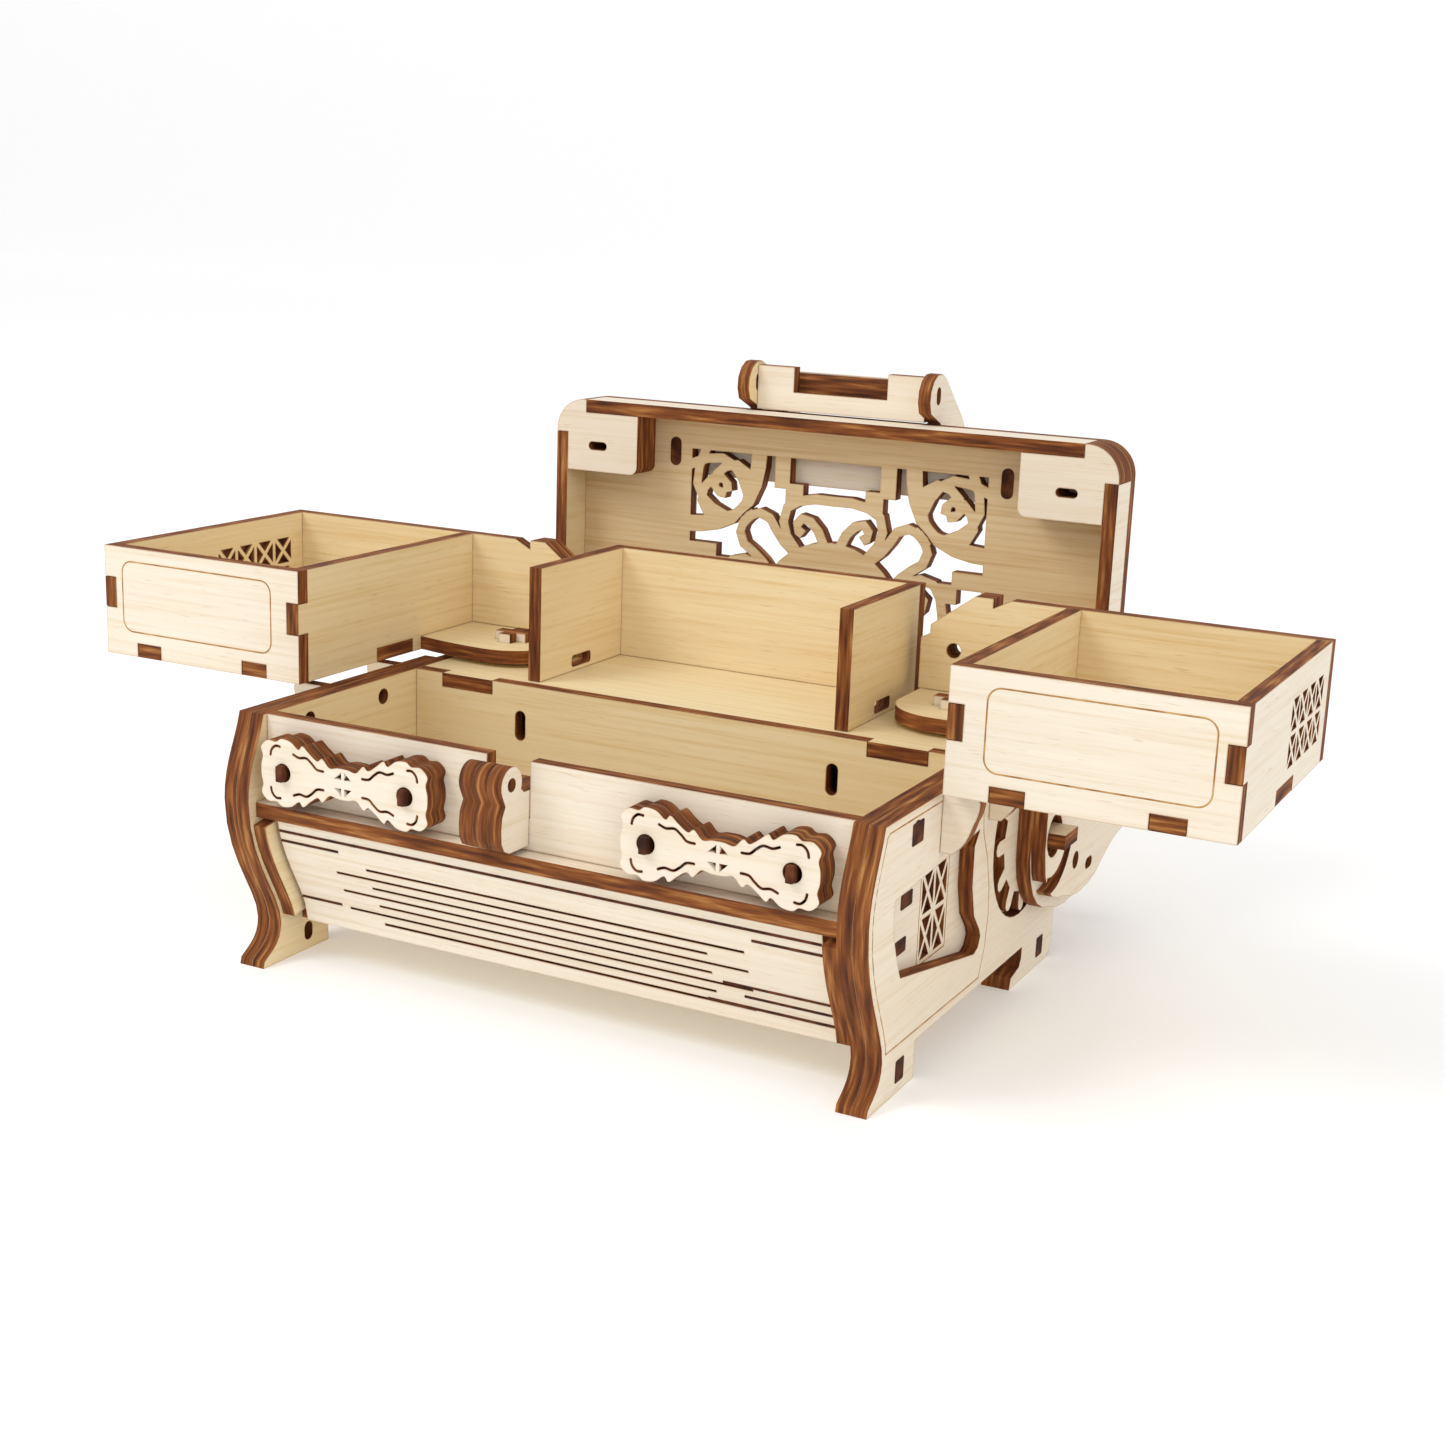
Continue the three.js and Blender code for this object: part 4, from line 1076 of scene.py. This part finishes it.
def cut_sheet(name, outlines, thickness, matrix):
    curve = bpy.data.curves.new(name, "CURVE")
    curve.dimensions = "2D"
    curve.fill_mode = "BOTH"
    curve.extrude = thickness * MM / 2
    for outline in outlines:
        spline = curve.splines.new("POLY")
        spline.points.add(len(outline) - 1)
        for point, (u, v) in zip(spline.points, outline):
            point.co = (u * MM, v * MM, 0, 1)
        spline.use_cyclic_u = True
    holder = bpy.data.objects.new(name, curve)
    bpy.context.scene.collection.objects.link(holder)
    graph = bpy.context.evaluated_depsgraph_get()
    sheet = bpy.data.meshes.new_from_object(holder.evaluated_get(graph))
    bpy.data.objects.remove(holder)
    sheet.transform(matrix)
    return sheet


print("a sheet cutter is ready")

# %% [markdown]
# ### The ornaments
#
# Each ornament is a double-ended leaf scroll of two sheets, fixed to the front wall with two round
# tenons. The front sheet has a little windmill of four blades in the middle and curved slits for
# the veins of the leaves. One quarter is drawn, and the rest are its mirror images, taken in turn
# so that the outline runs round once.

# %% Make the ornaments
QUARTER = (
    (1.2, 3.1), (3.2, 2.8), (4.9, 4.4), (6.1, 3.7), (8.0, 4.9), (9.7, 6.2), (10.7, 5.3),
    (12.6, 6.6), (14.9, 6.9), (16.2, 6.1), (18.3, 6.2), (19.9, 4.7), (19.5, 2.9), (19.9, 1.1),
)
VEINS = (
    ((4.4, 1.9), (6.2, 2.0), (7.4, 3.0), (8.8, 3.9), (10.6, 3.7), (12.2, 4.3)),
    ((15.0, 5.2), (16.3, 5.3), (17.3, 4.4), (17.6, 3.1)),
)
BLADE = ((0.35, 0.9), (0.35, 2.5), (2.1, 0.9))
SLIT = 0.5
ORNAMENT_X = 41.0
ORNAMENT_Z = 44.0
TENON_X = 14.6
TENON_HOLE = 1.9
TENON_Y = -48.4
TENON_REACH = 3.5
ORNAMENT_SHEET = 2.95  # a hair under 3 mm, so that the glue line shows
FRONT_SHEET_Y = -49.1
REAR_SHEET_Y = -46.08


def four_ways(points):
    return [[(u * a, v * b) for u, v in points] for a in (1, -1) for b in (1, -1)]


def ornament_outline():
    turns = ((1, 1, -1), (-1, 1, 1), (-1, -1, -1), (1, -1, 1))
    loop = []
    for a, b, order in turns:
        loop += [(u * a, v * b) for u, v in QUARTER[::order]]
    return flowing(loop, 4)


def upright(x, y, z):
    return Matrix.Translation(at(x, y, z)) @ Matrix.Rotation(math.pi / 2, 4, "X")


rim = ornament_outline()
pin_holes = [circle(side * TENON_X, 0, TENON_HOLE) for side in (1, -1)]
cuts = [slit(line, SLIT) for vein in VEINS for line in four_ways(vein)] + four_ways(BLADE)
for name, side in (("ornament_left", -1), ("ornament_right", 1)):
    middle = side * ORNAMENT_X
    in_front = upright(middle, FRONT_SHEET_Y, ORNAMENT_Z)
    behind = upright(middle, REAR_SHEET_Y, ORNAMENT_Z)
    front = cut_sheet(name, [rim, *pin_holes, *cuts], ORNAMENT_SHEET, in_front)
    rear = cut_sheet(name, [rim, *pin_holes], ORNAMENT_SHEET, behind)
    scroll = one_object(name + "_scrollwork", [front, rear], plies["pale", "y"], "case")
    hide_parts(name)
    tenons = [
        tab_ends([(middle + x, TENON_Y, ORNAMENT_Z)], "front", 1.5, 3.2, 0.2, TENON_REACH)
        for x in (-TENON_X, TENON_X)
    ]
    one_object(name + "_tenons", tenons, charred, "case")

# %% [markdown]
# ### The latch
#
# The latch is three sheets glued side by side. Seen from the side it is a hook: a round head with
# an eye for a pin, a waist, a foot against the front wall, and an arm that rests in the wall's
# notch. The sheets stand a hair apart, because the glue line always shows as a fine dark groove.

# %% Make the latch
HEAD = (-50.6, 50.3)
HEAD_RADIUS = 3.45
EYE_RADIUS = 1.35
LATCH_SHEETS = (-10.0, -6.85, -3.7)
LATCH_SHEET = 3.1


def latch_outline():
    turns = [math.radians(degrees) for degrees in range(-25, 211, 12)]
    head = [
        (HEAD[0] + HEAD_RADIUS * math.cos(turn), HEAD[1] + HEAD_RADIUS * math.sin(turn))
        for turn in turns
    ]
    belly = [
        (-52.6, 46.6), (-53.7, 44.6), (-54.0, 42.0), (-53.8, 39.6), (-52.9, 38.0), (-51.2, 37.2),
    ]
    foot = [(-44.7, 37.1), (-44.7, 42.6), (-36.6, 42.6), (-36.6, 48.0), (-46.4, 48.0)]
    return head + belly + foot


eye = circle(*HEAD, EYE_RADIUS, 16)
sideways = Matrix(((0, 0, 1, 0), (1, 0, 0, 0), (0, 1, 0, 0), (0, 0, 0, 1)))
latch_sheets = [
    cut_sheet(
        "latch", [latch_outline(), eye], LATCH_SHEET, Matrix.Translation(at(x, 0, 0)) @ sideways
    )
    for x in LATCH_SHEETS
]
latch = one_object("latch_hook", latch_sheets, plies["pale", "x"], "case")
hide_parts("latch_bracket")

# %% [markdown]
# ## The studio
#
# The box stands on a white sweep: a floor that curves up far behind it, so that no horizon shows
# from the front. Its paper glows a little, which keeps it white where the lamps don't reach.

# %% The floor
def white_sweep():
    radius, reach, height, half_width, steps = 0.6, 2.5, 2.4, 4.0, 24
    bend = [
        (reach + radius * math.sin(a), radius - radius * math.cos(a))
        for a in (math.pi / 2 * i / steps for i in range(steps + 1))
    ]
    profile = [(-reach, 0.0), *bend, (reach + radius, height)]
    verts = [(x, y, z) for x in (-half_width, half_width) for y, z in profile]
    rows = len(profile)
    faces = [(i, i + rows, i + rows + 1, i + 1) for i in range(rows - 1)]
    mesh = bpy.data.meshes.new("floor")
    mesh.from_pydata(verts, [], faces)
    for polygon in mesh.polygons:
        polygon.use_smooth = True
    floor = bpy.data.objects.new("floor", mesh)
    bpy.context.scene.collection.objects.link(floor)
    return floor


def plain_white(name):
    material = bpy.data.materials.new(name)
    material.use_nodes = True
    shader = material.node_tree.nodes["Principled BSDF"]
    shader.inputs["Base Color"].default_value = colour("#F4F4F4")
    shader.inputs["Emission Color"].default_value = (1, 1, 1, 1)
    shader.inputs["Emission Strength"].default_value = 0.2
    shader.inputs["Roughness"].default_value = 0.9
    shader.inputs["Specular IOR Level"].default_value = 0.1
    return material


floor = white_sweep()
floor.data.materials.append(plain_white("matt_white_paper"))
print("the floor has", len(floor.data.polygons), "faces")

# %% [markdown]
# ### The lamps
#
# Light comes mostly from a big soft lamp to the front left, with a weaker one on the right and a
# bright room round them. That leaves one soft shadow, to the right and behind.

# %% The lamps and the room
def soft_lamp(name, place, aim, size, power):
    light = bpy.data.lights.new(name, "AREA")
    light.shape = "DISK"
    light.size = size
    light.energy = power
    lamp = bpy.data.objects.new(name, light)
    way = (Vector(aim) - Vector(place)).to_track_quat("-Z", "Y").to_matrix().to_4x4()
    lamp.matrix_world = Matrix.Translation(place) @ way
    bpy.context.scene.collection.objects.link(lamp)
    return lamp


BOX_MIDDLE = (0.0, -0.02, 0.05)
soft_lamp("key_lamp", (-0.75, -0.85, 1.15), BOX_MIDDLE, size=0.75, power=8.0)
soft_lamp("fill_lamp", (1.1, -0.7, 0.7), BOX_MIDDLE, size=1.0, power=2.0)

world = bpy.data.worlds.new("bright_room")
world.use_nodes = True
room = world.node_tree.nodes["Background"]
room.inputs["Color"].default_value = (1, 1, 1, 1)
room.inputs["Strength"].default_value = 0.8
bpy.context.scene.world = world
bpy.context.scene.view_settings.view_transform = "Standard"
